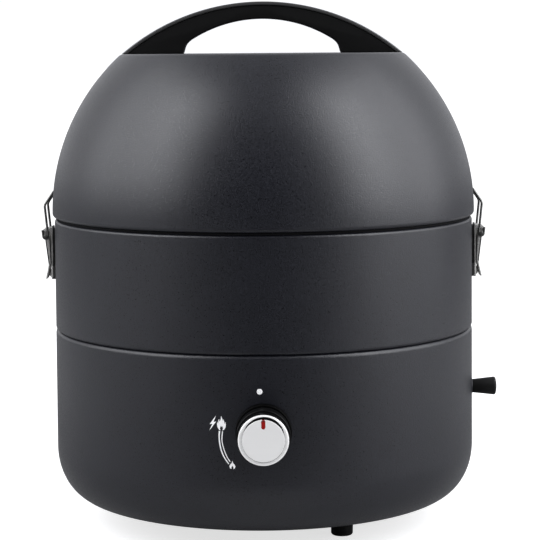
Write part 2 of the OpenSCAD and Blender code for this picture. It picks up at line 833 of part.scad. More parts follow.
module knob_cap() {
    back = knob_reach - cap_t;
    rim_r = knob_r - 1.5;
    well_r = knob_r - cap_rim_w;
    color(steel) facing_front() translate([0, 0, body_r]) rotate_extrude($fn = 96)
        polygon(concat(
            [[0, back + fit_gap], [knob_r, back + fit_gap], [knob_r, knob_reach - 1.3]],
            arc([rim_r, knob_reach - 1.3], 1.3, 0, 90, 5),
            [[well_r, knob_reach], [well_r, knob_reach - face_t], [0, knob_reach - face_t]]
        ));
}

module pointer_shape(grow) {
    half = pointer_len / 2 - pointer_w / 2;
    for (y = [-half, half]) translate([0, pointer_y + y, 0])
        cylinder(h = 6, r = pointer_w / 2 + grow);
    translate([-pointer_w / 2 - grow, pointer_y - half, 0])
        cube([pointer_w + 2 * grow, 2 * half, 6]);
}

module knob_face() {
    color(steel) facing_front() difference() {
        translate([0, 0, body_r + knob_reach - face_t + fit_gap])
            cylinder(h = face_t - 0.2, r = face_r, $fn = 96);
        translate([0, 0, body_r + knob_reach - 3]) pointer_shape(fit_gap);
    }
}

module knob_pointer() {
    color([0.65, 0.08, 0.05]) facing_front() intersection() {
        translate([0, 0, body_r + knob_reach - 3]) pointer_shape(0);
        translate([0, 0, body_r + knob_reach - face_t + fit_gap])
            cylinder(h = face_t, r = knob_r);
    }
}

// Lid
catch_gap_w = 2 * (bail_half_w + wire_r) + 2;

module lid_outline(inset) {
    r = lid_r - inset;
    edge = lid_edge_r - min(inset, lid_edge_r - 0.5);
    top_c = [(lid_r - crown_edge_r) * cos(dome_top_angle), crown_z - crown_edge_r];
    polygon(concat(
        [[0, lid_z + inset]],
        arc([r - edge, lid_z + inset + edge], edge, -90, 0, 5),
        arc([0, dome_z], r, 0, dome_top_angle, 36),
        arc(top_c, crown_edge_r - inset, dome_top_angle, 90, 5),
        [[0, crown_z - inset]]
    ));
}

module lid_shell() {
    color(paint) difference() {
        rotate_extrude($fn = 128) lid_outline(0);
        rotate_extrude($fn = 128) lid_outline(shell_t);
        translate([0, 0, lid_z - 1]) cylinder(h = shell_t + 2, r = lid_mouth_r, $fn = 128);
        for (s = [-1, 1]) {
            translate([s * lid_r, 0, catch_bottom_z + catch_window_h / 2])
                cube([16, catch_gap_w, catch_window_h], center = true);
            translate([s * handle_screw_x, 0, crown_z - shell_t - 1])
                cylinder(h = shell_t + 2, r = handle_screw_r + fit_gap);
        }
    }
}

// Handle
handle_screw_r = 2.5;
handle_screw_len = 14;
handle_half_span = crown_r + handle_end_reach;
handle_arc_r = (handle_half_span * handle_half_span + handle_h * handle_h) / (2 * handle_h);
handle_screw_x = handle_half_span - handle_screw_inset;
handle_c = [0, crown_z + handle_h - handle_arc_r];
gap_arch_rise = 18.6;
gap_arch_r = (finger_gap_half_w * finger_gap_half_w + gap_arch_rise * gap_arch_rise)
    / (2 * gap_arch_rise);
gap_top_z = crown_z + finger_gap_h;
gap_foot_half_w = finger_gap_half_w + 5.6;
grip_arc_r = handle_arc_r - strap_t - fit_gap;

module grip_outline() {
    foot_angle_out = asin((crown_z - handle_c[1]) / grip_arc_r);
    arch_end = asin(finger_gap_half_w / gap_arch_r);
    right = arc([0, gap_top_z - gap_arch_r], gap_arch_r, 90 - arch_end, 90, 14);
    left = arc([0, gap_top_z - gap_arch_r], gap_arch_r, 90, 90 + arch_end, 14);
    shoulder_z = gap_top_z - gap_arch_rise;
    polygon(concat(
        arc(handle_c, grip_arc_r, foot_angle_out, 180 - foot_angle_out, 40),
        [[-gap_foot_half_w, crown_z], [-gap_foot_half_w + 1.3, crown_z + 3],
         [-finger_gap_half_w - 1.8, shoulder_z - 3]],
        [for (i = [0 : 14]) left[14 - i]],
        [for (i = [1 : 14]) right[14 - i]],
        [[finger_gap_half_w + 1.8, shoulder_z - 3], [gap_foot_half_w - 1.3, crown_z + 3],
         [gap_foot_half_w, crown_z]]
    ));
}

module handle_grip() {
    color(black) difference() {
        translate([0, handle_w / 2 - 1, 0]) rotate([90, 0, 0])
            linear_extrude(handle_w - 2) grip_outline();
        for (s = [-1, 1])
            translate([s * handle_screw_x, 0, crown_z - 1])
                cylinder(h = handle_screw_len, r = handle_screw_r + fit_gap);
    }
}

module strap_outline() {
    inner_r = handle_arc_r - strap_t;
    foot_out = asin((crown_z - handle_c[1]) / handle_arc_r);
    foot_in = asin((crown_z - handle_c[1]) / inner_r);
    polygon(concat(
        arc(handle_c, handle_arc_r, foot_out, 180 - foot_out, 40),
        arc(handle_c, inner_r, 180 - foot_in, foot_in, 40)
    ));
}

module handle_strap() {
    color(dark_steel) translate([0, handle_w / 2, 0]) rotate([90, 0, 0])
        linear_extrude(handle_w) strap_outline();
}

washer_t = 1.5;

module handle_screws() {
    color(steel) for (s = [-1, 1])
        translate([s * handle_screw_x, 0, crown_z - shell_t - washer_t]) mirror([0, 0, 1])
            screw(handle_screw_r, handle_screw_len, 4.8, 3);
}

module handle_washers() {
    color(steel) for (s = [-1, 1])
        translate([s * handle_screw_x, 0, crown_z - shell_t - washer_t]) difference() {
            cylinder(h = washer_t, r = 7);
            translate([0, 0, -1]) cylinder(h = washer_t + 2, r = handle_screw_r + fit_gap);
        }
}

// Latches. Each is drawn for the right side, and the left one is its mirror image.
// In their outlines x is the distance from the body's axis and y the height.
pivot = [body_r + latch_pivot_reach, joint_z + latch_pivot_h];
bail_pin = pivot + [-0.8, -4];
pin_r = 1;
wrap_r = pin_r + fit_gap + wire_r;
ear_gap = 0.4;
ear_y = latch_plate_w / 2;
flange_y = ear_y + ear_gap;
lever_half_w = flange_y + latch_sheet_t;
plate_face = body_r + 2.2 + latch_sheet_t;
plate_bottom_z = joint_z + 39;
plate_top_z = pivot[1] + 4;
rivet_z = plate_bottom_z + 4.8;
rivet_r = 2;
bail_bend = [body_r + 9.6, pivot[1] + 22.3];
bail_bar = [lid_r - 0.7 + wire_r - hook_depth, pivot[1] + 33.3];
bar_gap = 0.55;
catch_lip_z = bail_bar[1] - wire_r - bar_gap;
catch_bottom_z = catch_lip_z - 6;
catch_window_h = 13.5;

module flat_to_side(half_w, outline_y = 0) {
    translate([0, outline_y + half_w, 0]) rotate([90, 0, 0])
        linear_extrude(2 * half_w) children();
}

module lid_catch() {
    back_r = lid_r - shell_t - 1.6;
    tongue_half_w = bail_half_w - wire_r - 0.9;
    color(steel) difference() {
        translate([lid_r - 8, -catch_gap_w / 2 - 5, catch_bottom_z - 3])
            cube([8, catch_gap_w + 10, catch_window_h + 6]);
        dome_shadow(lid_r - shell_t - curve_gap);
        difference() {
            translate([lid_r - 20, -30, catch_bottom_z - 10]) cube([20, 60, 40]);
            dome_shadow(back_r);
        }
    }
    color(steel) intersection() {
        translate([lid_r - 4.5, -tongue_half_w, catch_bottom_z + 0.4])
            cube([8, 2 * tongue_half_w, catch_lip_z - catch_bottom_z - 0.4]);
        translate([0, 0, dome_z]) sphere(r = lid_r - 0.1, $fn = 128);
    }
}

// Everything outside a sphere of radius r round the dome's centre
module dome_shadow(r) {
    difference() {
        translate([lid_r - 30, -40, dome_z - 30]) cube([60, 80, 80]);
        translate([0, 0, dome_z]) sphere(r = r, $fn = 128);
    }
}

module latch_plate() {
    color(steel) difference() {
        union() {
            flat_to_side(latch_plate_w / 2) polygon([
                [plate_face - latch_sheet_t, plate_bottom_z], [plate_face, plate_bottom_z],
                [plate_face, plate_top_z], [plate_face - latch_sheet_t, plate_top_z]
            ]);
            translate([body_r - 1, -latch_plate_w / 2, plate_bottom_z])
                cube([plate_face - body_r, latch_plate_w, 12]);
            for (s = [-1, 1])
                translate([0, s * (ear_y - latch_sheet_t / 2), 0]) ear();
        }
        translate([0, 0, plate_bottom_z - 1]) cylinder(h = 60, r = body_r + fit_gap, $fn = 128);
        translate([body_r - 5, 0, rivet_z]) rotate([0, 90, 0])
            cylinder(h = 20, r = rivet_r + fit_gap);
        translate([pivot[0], 20, pivot[1]]) rotate([90, 0, 0])
            cylinder(h = 40, r = pin_r + 0.2 + fit_gap);
    }
}

module ear() {
    r = 2.1;
    translate([pivot[0], latch_sheet_t / 2, pivot[1]]) rotate([90, 0, 0])
        cylinder(h = latch_sheet_t, r = r);
    translate([plate_face - 1, -latch_sheet_t / 2, pivot[1] - r])
        cube([pivot[0] - plate_face + 1, latch_sheet_t, 2 * r]);
}

module latch_rivet() {
    inner_face = body_r - shell_t - curve_gap;
    color(steel) translate([0, 0, rivet_z]) rotate([0, 90, 0]) union() {
        translate([0, 0, plate_face + fit_gap]) rotate_extrude() intersection() {
            translate([0, -1.8]) circle(r = 4.6);
            square([5, 5]);
        }
        translate([0, 0, inner_face - 1])
            cylinder(h = plate_face + 1 - inner_face + 1, r = rivet_r);
        translate([0, 0, inner_face - 1.4]) cylinder(h = 1.4, r = rivet_r + 1.6);
    }
}

module latch_pivot_pin() {
    color(steel) translate([pivot[0], lever_half_w, pivot[1]]) rotate([90, 0, 0])
        cylinder(h = 2 * lever_half_w, r = pin_r + 0.2);
}

module lever_side() {
    top = pin_r + 1.2;
    polygon(concat(
        arc(pivot, top, 0, 180, 8),
        [[pivot[0] - 3.6, pivot[1] - 6.5], lever_low + [-1.2, 0], lever_low + [0.6, 0],
         lever_top]
    ));
}

lever_top = pivot + [0.2, -5.5];
lever_low = pivot + [-3.2, -28];
lever_tip = pivot + [0.9, -40.2];

module latch_lever() {
    color(steel) difference() {
        union() {
            for (s = [-1, 1])
                flat_to_side(latch_sheet_t / 2, s * (flange_y + latch_sheet_t / 2)) lever_side();
            flat_to_side(lever_half_w) polygon([
                lever_top, lever_low + [0.6, 0], lever_low + [-0.8, 0],
                lever_top + [-1.4, 0]
            ]);
            flat_to_side(lever_half_w - 1.8) polygon([
                lever_low + [-0.8, 0.4], lever_low + [0.6, 0.4], lever_tip + [0.6, 0],
                lever_tip + [-0.8, 0]
            ]);
        }
        translate([pivot[0], 20, pivot[1]]) rotate([90, 0, 0])
            cylinder(h = 40, r = pin_r + 0.2 + fit_gap);
        translate([bail_pin[0], 20, bail_pin[1]]) rotate([90, 0, 0])
            cylinder(h = 40, r = pin_r + fit_gap);
    }
}

module latch_bail_pin() {
    half = bail_half_w + wire_r + 0.5;
    color(steel) translate([bail_pin[0], half, bail_pin[1]]) rotate([90, 0, 0])
        union() {
            cylinder(h = 2 * half, r = pin_r);
            translate([0, 0, -0.8]) cylinder(h = 0.8, r = pin_r + 0.7);
            translate([0, 0, 2 * half]) cylinder(h = 0.8, r = pin_r + 0.7);
        }
}

function bail_side(s) =
    let (y = s * bail_half_w,
        tip = [bail_pin[0] + wrap_r + 0.6, y, bail_pin[1] + 5.2],
        hook = [for (a = [0 : -22.5 : -180])
            [bail_pin[0] + wrap_r * cos(a), y, bail_pin[1] + wrap_r * sin(a)]],
        bend = [bail_bend[0], y, bail_bend[1]],
        end = [bail_bar[0], y, bail_bar[1]])
    concat([tip], hook, corner(hook[8], bend, end, 6),
        corner(bend, end, [end[0], 0, end[2]], 2.4));

module latch_bail() {
    front = bail_side(-1);
    back = bail_side(1);
    last = len(back) - 1;
    color(steel)
        wire(concat(front, [for (i = [0 : last]) back[last - i]]), wire_r, [0, 1, 0]);
}

module lid_catch_right() { lid_catch(); }
module lid_catch_left() { mirror([1, 0, 0]) lid_catch(); }
module latch_right_plate() { latch_plate(); }
module latch_left_plate() { mirror([1, 0, 0]) latch_plate(); }
module latch_right_rivet() { latch_rivet(); }
module latch_left_rivet() { mirror([1, 0, 0]) latch_rivet(); }
module latch_right_pivot_pin() { latch_pivot_pin(); }
module latch_left_pivot_pin() { mirror([1, 0, 0]) latch_pivot_pin(); }
module latch_right_lever() { latch_lever(); }
module latch_left_lever() { mirror([1, 0, 0]) latch_lever(); }
module latch_right_bail_pin() { latch_bail_pin(); }
module latch_left_bail_pin() { mirror([1, 0, 0]) latch_bail_pin(); }
module latch_right_bail() { latch_bail(); }
module latch_left_bail() { mirror([1, 0, 0]) latch_bail(); }

lower_bowl();
base_band();
band_screws();
foot_front_right();
foot_left();
foot_back();
foot_screws();
fire_bowl();
fire_bowl_screws();
grate_brackets();
rim_seal();
cooking_grate();
heat_plate();
burner_head();
burner_cap();
burner_bracket();
burner_screws();
mixing_tube();
air_shutter();
gas_valve();
valve_stem();
valve_bracket();
gas_jet();
gas_pipe();
pipe_nuts();
inlet_fitting();
inlet_bracket();
inlet_nut();
inlet_grommet();
inlet_cap();
igniter_electrode();
igniter_lead();
knob_bezel();
knob_collar();
knob_body();
knob_cap();
knob_face();
knob_pointer();
lid_shell();
lid_catch_left();
lid_catch_right();
handle_grip();
handle_strap();
handle_screws();
handle_washers();
latch_left_plate();
latch_left_rivet();
latch_left_pivot_pin();
latch_left_lever();
latch_left_bail_pin();
latch_left_bail();
latch_right_plate();
latch_right_rivet();
latch_right_pivot_pin();
latch_right_lever();
latch_right_bail_pin();
latch_right_bail();
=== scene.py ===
"""Portable gas grill: its looks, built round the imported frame.

The classes hold their sizes in millimetres, as a drawing does, and the bench turns them into
metres. +Z points up, the knob faces -Y and the gas inlet leaves at +X.
"""

import logging
import math
from collections.abc import Sequence
from dataclasses import dataclass
from enum import Enum
from functools import cache

import bmesh
import bpy
from mathutils import Matrix, Vector


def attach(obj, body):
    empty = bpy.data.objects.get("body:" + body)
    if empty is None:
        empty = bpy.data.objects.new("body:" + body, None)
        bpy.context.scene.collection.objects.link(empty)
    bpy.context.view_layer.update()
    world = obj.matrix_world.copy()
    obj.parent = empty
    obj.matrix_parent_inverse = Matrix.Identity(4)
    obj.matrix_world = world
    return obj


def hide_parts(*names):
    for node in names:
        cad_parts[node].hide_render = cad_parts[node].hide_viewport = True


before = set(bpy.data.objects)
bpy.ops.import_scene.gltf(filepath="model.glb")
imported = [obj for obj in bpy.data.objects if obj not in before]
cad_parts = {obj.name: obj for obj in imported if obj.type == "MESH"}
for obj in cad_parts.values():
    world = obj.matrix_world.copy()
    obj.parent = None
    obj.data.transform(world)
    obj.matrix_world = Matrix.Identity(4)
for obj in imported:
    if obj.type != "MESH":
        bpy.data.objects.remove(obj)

log = logging.getLogger("grill")

MM = 0.001
WALL_R = 175.0
KNOB_Z = 105.3
INLET_Z = 108.0
Flat = tuple[float, float]
Spot = tuple[float, float, float]
Colour = tuple[float, float, float]
Piece = bpy.types.Object
Socket = bpy.types.NodeSocket
Wired = Socket | float | Sequence[float]
Pair = tuple[Flat, Flat]


# Outlines


def arc(centre: Flat, radius: float, start: float, end: float, steps: int) -> list[Flat]:
    """Points along a circular arc between two angles in degrees, both ends included."""
    return oval(centre, radius, radius, start, end, steps)


def oval(centre: Flat, across: float, up: float, start: float, end: float, steps: int) -> list[Flat]:
    """Points along an arc of an ellipse, given by its half axes and two angles in degrees."""
    angles = [math.radians(start + (end - start) * i / steps) for i in range(steps + 1)]
    return [(centre[0] + across * math.cos(a), centre[1] + up * math.sin(a)) for a in angles]


def rise(x: float, start: float, end: float, steps: int) -> list[Flat]:
    """Points up or down a straight wall in that many stretches, without its two ends."""
    return [(x, start + (end - start) * i / steps) for i in range(1, steps)]


def oblong(half: float, low: float, high: float, radius: float, steps: int) -> list[Flat]:
    """Outline of an upright oblong with round corners.

    Args:
        half: Its half width.
        low: Height of its lower edge.
        high: Height of its upper edge.
        radius: Radius of the corners.
        steps: Number of stretches round each corner.

    Returns:
        The outline, from its right edge upward.
    """
    x = half - radius
    corners = ((x, high - radius), (-x, high - radius), (-x, low + radius), (x, low + radius))
    return [point for i, corner in enumerate(corners)
            for point in arc(corner, radius, 90 * i, 90 * i + 90, steps)]


def rounded(before: Vector, at: Vector, after: Vector, radius: float, steps: int = 8) -> list[Vector]:
    """Points of a rounded corner between two straight runs.

    Args:
        before: A point on the run that comes in.
        at: The corner.
        after: A point on the run that leaves.
        radius: Radius of the bend.
        steps: Number of stretches round the bend.

    Returns:
        The bend's points.
    """
    u, v = (before - at).normalized(), (after - at).normalized()
    half = u.angle(v) / 2
    centre = at + (u + v).normalized() * radius / math.sin(half)
    first = (at + u * radius / math.tan(half) - centre).normalized()
    turn = math.pi - 2 * half
    return [centre + radius * (math.cos(turn * i / steps) * first - math.sin(turn * i / steps) * u)
            for i in range(steps + 1)]


# Bench


def clear_selection() -> None:
    """Leaves edit mode and deselects every object."""
    if bpy.context.object and bpy.context.object.mode != "OBJECT":
        bpy.ops.object.mode_set(mode="OBJECT")
    bpy.ops.object.select_all(action="DESELECT")


def pick(piece: Piece) -> None:
    """Leaves edit mode and makes one piece the selected and active object.

    Args:
        piece: The piece.
    """
    clear_selection()
    piece.select_set(True)
    bpy.context.view_layer.objects.active = piece


def round_rims(piece: Piece, across: Vector, width: float, steps: int) -> None:
    """Rounds the rims of a slab that is in edit mode.

    Args:
        piece: The slab.
        across: The direction of its depth. Edges that lie square to it are rims.
        width: Width of the rounding.
        steps: Number of stretches across it.
    """
    bpy.ops.mesh.select_mode(type="EDGE")
    bpy.ops.mesh.select_all(action="DESELECT")
    mesh = bmesh.from_edit_mesh(piece.data)
    for edge in mesh.edges:
        a, b = (vert.co / MM for vert in edge.verts)
        edge.select_set(abs((b - a).normalized() @ across) < 0.01)
    bmesh.update_edit_mesh(piece.data)
    bpy.ops.mesh.bevel(offset=width * MM, segments=steps, affect="EDGES", clamp_overlap=True)


def weld() -> None:
    """Merges the selected points that lie on each other."""
    bpy.ops.mesh.remove_doubles(threshold=MM * 0.005)


def face_outward() -> None:
    """Selects the whole mesh in edit mode and turns its faces outward."""
    bpy.ops.mesh.select_all(action="SELECT")
    bpy.ops.mesh.normals_make_consistent(inside=False)


def trace(name: str, points: Sequence[Spot | Vector], closed: bool = False) -> Piece:
    """Draws a line of edges by extruding one point from place to place. It stays in edit mode.

    Args:
        name: Name of the new piece.
        points: Places along the line, in millimetres.
        closed: Whether the last point joins the first.

    Returns:
        The piece.
    """
    clear_selection()
    places = [Vector(point) * MM for point in points]
    bpy.ops.mesh.primitive_plane_add(size=MM, location=places[0])
    piece = bpy.context.object
    piece.name = piece.data.name = name
    bpy.ops.object.mode_set(mode="EDIT")
    bpy.ops.mesh.select_mode(type="VERT")
    bpy.ops.mesh.select_all(action="SELECT")
    bpy.ops.mesh.merge(type="CENTER")
    for last, place in zip(places, places[1:] + places[:1] * closed):
        bpy.ops.mesh.extrude_region_move(TRANSFORM_OT_translate={"value": place - last})
    bpy.ops.mesh.select_all(action="SELECT")
    if closed:
        weld()
    return piece


def settle(piece: Piece, smooth: float = 32.0) -> Piece:
    """Puts the piece's place into its mesh and shades it.

    Args:
        piece: The piece.
        smooth: Edges that turn by less than this angle in degrees are shaded round.

    Returns:
        The piece, in object mode.
    """
    pick(piece)
    bpy.ops.object.transform_apply(location=True, rotation=True, scale=True)
    bpy.ops.object.shade_smooth_by_angle(angle=math.radians(smooth))
    return piece


@dataclass(frozen=True)
class Lathe:
    """An axis that turned pieces are spun round."""

    centre: Spot
    along: Spot
    across: Spot

    def place(self, radius: float, out: float) -> Vector:
        """A spot at a radius from the axis and a way along it."""
        return Vector(self.centre) + Vector(self.across) * radius + Vector(self.along) * out


BODY_LATHE = Lathe((0, 0, 0), (0, 0, 1), (1, 0, 0))
KNOB_LATHE = Lathe((0, 0, KNOB_Z), (0, -1, 0), (1, 0, 0))
INLET_LATHE = Lathe((0, 0, INLET_Z), (1, 0, 0), (0, 0, 1))


def turned(
    name: str, lathe: Lathe, profile: Sequence[Flat], steps: int = 64, closed: bool = False
) -> Piece:
    """Spins a profile into a round piece.

    Args:
        name: Name of the new piece.
        lathe: The axis that it is turned on.
        profile: Points of radius and way along the axis.
        steps: Number of faces round the piece.
        closed: Whether the profile is a ring that joins its own start.

    Returns:
        The piece.
    """
    piece = trace(name, [lathe.place(radius, out) for radius, out in profile], closed)
    centre = Vector(lathe.centre) * MM
    bpy.ops.mesh.spin(steps=steps, angle=math.tau, center=centre, axis=lathe.along)
    bpy.ops.mesh.select_all(action="SELECT")
    weld()
    face_outward()
    return settle(piece)


def slab(
    name: str, outline: Sequence[Spot | Vector], way: Spot, edge: float = 0.0, steps: int = 2,
    smooth: float = 32.0,
) -> Piece:
    """Fills a closed outline, draws it out into a slab and rounds its rims.

    Args:
        name: Name of the new piece.
        outline: Points of the outline, in millimetres.
        way: How far and in which direction the slab is drawn out, in millimetres.
        edge: Width of the rounding on both rims, or 0 for none.
        steps: Number of stretches across the rounding.
        smooth: Edges that turn by less than this angle in degrees are shaded round.

    Returns:
        The piece.
    """
    piece = trace(name, outline, closed=True)
    bpy.ops.mesh.edge_face_add()
    bpy.ops.mesh.extrude_region_move(TRANSFORM_OT_translate={"value": Vector(way) * MM})
    face_outward()
    if edge:
        round_rims(piece, Vector(way).normalized(), edge, steps)
    return settle(piece, smooth)


def plank(
    name: str, outline: Sequence[Flat], start: float, end: float, edge: float = 0.25,
    steps: int = 2, smooth: float = 32.0,
) -> Piece:
    """Draws an outline of places across and heights out from one depth to another, as a slab.

    Args:
        name: Name of the new piece.
        outline: Points of place across and height.
        start: Depth of one face.
        end: Depth of the other face.
        edge: Radius of its rims.
        steps: Number of faces across a rim.
        smooth: Edges that turn by less than this angle in degrees are shaded round.

    Returns:
        The piece.
    """
    spots = [(x, start, z) for x, z in outline]
    return slab(name, spots, (0, end - start, 0), edge, steps, smooth)


def drawn_wire(name: str, path: Sequence[Vector], radius: float) -> Piece:
    """Makes a round wire that follows a path.

    Args:
        name: Name of the new piece.
        path: Points along the middle of the wire, in millimetres.
        radius: Radius of the wire.

    Returns:
        The piece.
    """
    piece = trace(name, path)
    pick(piece)
    bpy.ops.object.convert(target="CURVE")
    curve = piece.data
    curve.dimensions = "3D"
    curve.bevel_depth = radius * MM
    curve.bevel_resolution = 4
    curve.use_fill_caps = True
    bpy.ops.object.convert(target="MESH")
    bpy.ops.object.mode_set(mode="EDIT")
    bpy.ops.mesh.select_all(action="SELECT")
    weld()
    face_outward()
    return settle(piece, 50.0)


def joined(name: str, pieces: Sequence[Piece]) -> Piece:
    """Joins pieces that are welded to each other.

    Args:
        name: Name of the joined piece.
        pieces: The pieces.

    Returns:
        The first piece, which takes up the others.
    """
    clear_selection()
    for piece in pieces:
        piece.select_set(True)
    first = pieces[0]
    bpy.context.view_layer.objects.active = first
    bpy.ops.object.join()
    first.name = first.data.name = name
    return first


def carve(piece: Piece, cutters: Sequence[Piece]) -> Piece:
    """Cuts the shapes of other pieces out of a piece, and throws them away.

    Args:
        piece: The piece that is cut.
        cutters: The shapes that are taken out, which don't touch each other.

    Returns:
        The piece.
    """
    cutter = joined("cutter", cutters)
    pick(piece)
    modifier = piece.modifiers.new("carve", "BOOLEAN")
    modifier.operation = "DIFFERENCE"
    modifier.solver = "EXACT"
    modifier.object = cutter
    bpy.ops.object.modifier_apply(modifier=modifier.name)
    bpy.data.objects.remove(cutter)
    return settle(piece)


def copied(piece: Piece, name: str) -> Piece:
    """Copies a piece with its own mesh, and makes the copy the active object.

    Args:
        piece: The piece.
        name: Name of the copy.

    Returns:
        The copy.
    """
    pick(piece)
    bpy.ops.object.duplicate()
    copy = bpy.context.object
    copy.name = copy.data.name = name
    return copy


def mirrored(piece: Piece, name: str) -> Piece:
    """Copies a piece to the other side of the grill.

    Args:
        piece: The piece on the right.
        name: Name of the copy on the left.

    Returns:
        The copy.
    """
    copy = copied(piece, name)
    copy.scale = (-1, 1, 1)
    bpy.ops.object.transform_apply(location=True, rotation=True, scale=True)
    bpy.ops.object.mode_set(mode="EDIT")
    face_outward()
    return settle(copy)


# Finishes


class Wiring:
    """Adds nodes to a tree and links them."""

    def __init__(self, tree: bpy.types.NodeTree) -> None:
        """Works on one tree."""
        self.tree = tree

    def feed(self, node: bpy.types.Node, inputs: dict[str | int, Wired]) -> None:
        """Links or sets the inputs of a node.

        Args:
            node: The node.
            inputs: Sockets or plain values, by the name or number of the input.
        """
        for name, value in inputs.items():
            if isinstance(value, Socket):
                self.tree.links.new(value, node.inputs[name])
            else:
                node.inputs[name].default_value = value

    def add(
        self, kind: str, inputs: dict[str | int, Wired], output: str | int = 0, **settings: object
    ) -> Socket:
        """Adds a shader node.

        Args:
            kind: Its type, without the prefix that all shader nodes share.
            inputs: Sockets or plain values, by the name or number of the input.
            output: Name or number of the output that is wanted.
            settings: Settings of the node that are not inputs.

        Returns:
            That output.
        """
        node = self.tree.nodes.new("ShaderNode" + kind)
        for name, value in settings.items():
            setattr(node, name, value)
        self.feed(node, inputs)
        return node.outputs[output]

    def combine(self, operation: str, *values: Wired) -> Socket:
        """Joins values by an operation."""
        return self.add("Math", dict(enumerate(values)), operation=operation)

    def mix(self, share: Wired, first: Wired, second: Wired) -> Socket:
        """Mixes two values, all of the first at a share of 0 and all of the second at 1."""
        return self.add("Mix", {"Factor": share, "A": first, "B": second}, "Result")

    def ramp(
        self, value: Socket, source: Flat, target: Flat = (0.0, 1.0), kind: str = "LINEAR"
    ) -> Socket:
        """Maps a value from one range to another, evenly or by another kind of curve.

        Args:
            value: The value.
            source: The range it comes from.
            target: The range it goes to.
            kind: The kind of curve.

        Returns:
            The mapped value.
        """
        ends = dict(zip(("From Min", "From Max", "To Min", "To Max"), source + target))
        return self.add("MapRange", {"Value": value, **ends}, interpolation_type=kind)


class Grain(Enum):
    """The kinds of fine surface that the finishes share."""

    POWDER = "powder coat"
    MOULDED = "moulded plastic"
    BRUSHED = "drawn or brushed metal"
    TURNED = "metal turned round an axis"
    CAST = "cast metal"


class GrainWiring(Wiring):
    """Wires a grain's node group, which turns a place and a grain size into a tone and a height."""

    BROAD_SCALE = {Grain.POWDER: 0.03}
    BROAD_SHARE = {Grain.POWDER: 0.1}
    DETAIL = {Grain.CAST: 3.0}

    def build(self, grain: Grain) -> None:
        """Adds the sockets and nodes of a grain.

        Args:
            grain: The kind of surface.
        """
        for name, way, kind in (("Place", "INPUT", "Vector"), ("Size", "INPUT", "Float"),
                                ("Tone", "OUTPUT", "Float"), ("Height", "OUTPUT", "Float")):
            self.tree.interface.new_socket(name, in_out=way, socket_type=f"NodeSocket{kind}")
        given = self.tree.nodes.new("NodeGroupInput").outputs
        place = self.rings(given["Place"]) if grain is Grain.TURNED else given["Place"]
        count = self.combine("DIVIDE", 1.0, given["Size"])
        place = self.add("VectorMath", {0: place, "Scale": count}, operation="SCALE")
        fine = self.noise(place, 1.0, self.DETAIL.get(grain, 2.0))
        broad = self.noise(place, self.BROAD_SCALE.get(grain, 0.08), 3.0)
        tone = self.mix(self.BROAD_SHARE.get(grain, 0.45), fine, broad)
        height = self.pits(place, fine) if grain in (Grain.MOULDED, Grain.CAST) else fine
        self.feed(self.tree.nodes.new("NodeGroupOutput"), {"Tone": tone, "Height": height})

    def noise(self, place: Socket, scale: float, detail: float) -> Socket:
        """A noise of a scale, with so many octaves."""
        return self.add("TexNoise", {
            "Vector": place, "Scale": scale, "Detail": detail, "Roughness": 0.55}, "Fac")

    def pits(self, place: Socket, fine: Socket) -> Socket:
        """Small rounded cells, mixed half and half with a fine noise."""
        cells = self.add("TexVoronoi", {"Vector": place, "Scale": 1.6}, "Distance")
        return self.mix(0.5, cells, fine)

    def rings(self, place: Socket) -> Socket:
        """Turns a place round the Z axis into its radius, so that noise on it makes rings.

        Args:
            place: The place.

        Returns:
            A place with the radius as X and the height as Y.
        """
        split = self.add("SeparateXYZ", {0: place}).node.outputs
        flat = self.add("CombineXYZ", {"X": split["X"], "Y": split["Y"]})
        radius = self.add("VectorMath", {0: flat}, "Value", operation="LENGTH")
        return self.add("CombineXYZ", {"X": radius, "Y": split["Z"]})


@cache
def grain_group(grain: Grain) -> bpy.types.NodeTree:
    """The node group of a grain, made once for all the finishes that share it.

    Args:
        grain: The kind of surface.

    Returns:
        The group.
    """
    tree = bpy.data.node_groups.new(f"grain of {grain.value}", "ShaderNodeTree")
    GrainWiring(tree).build(grain)
    return tree


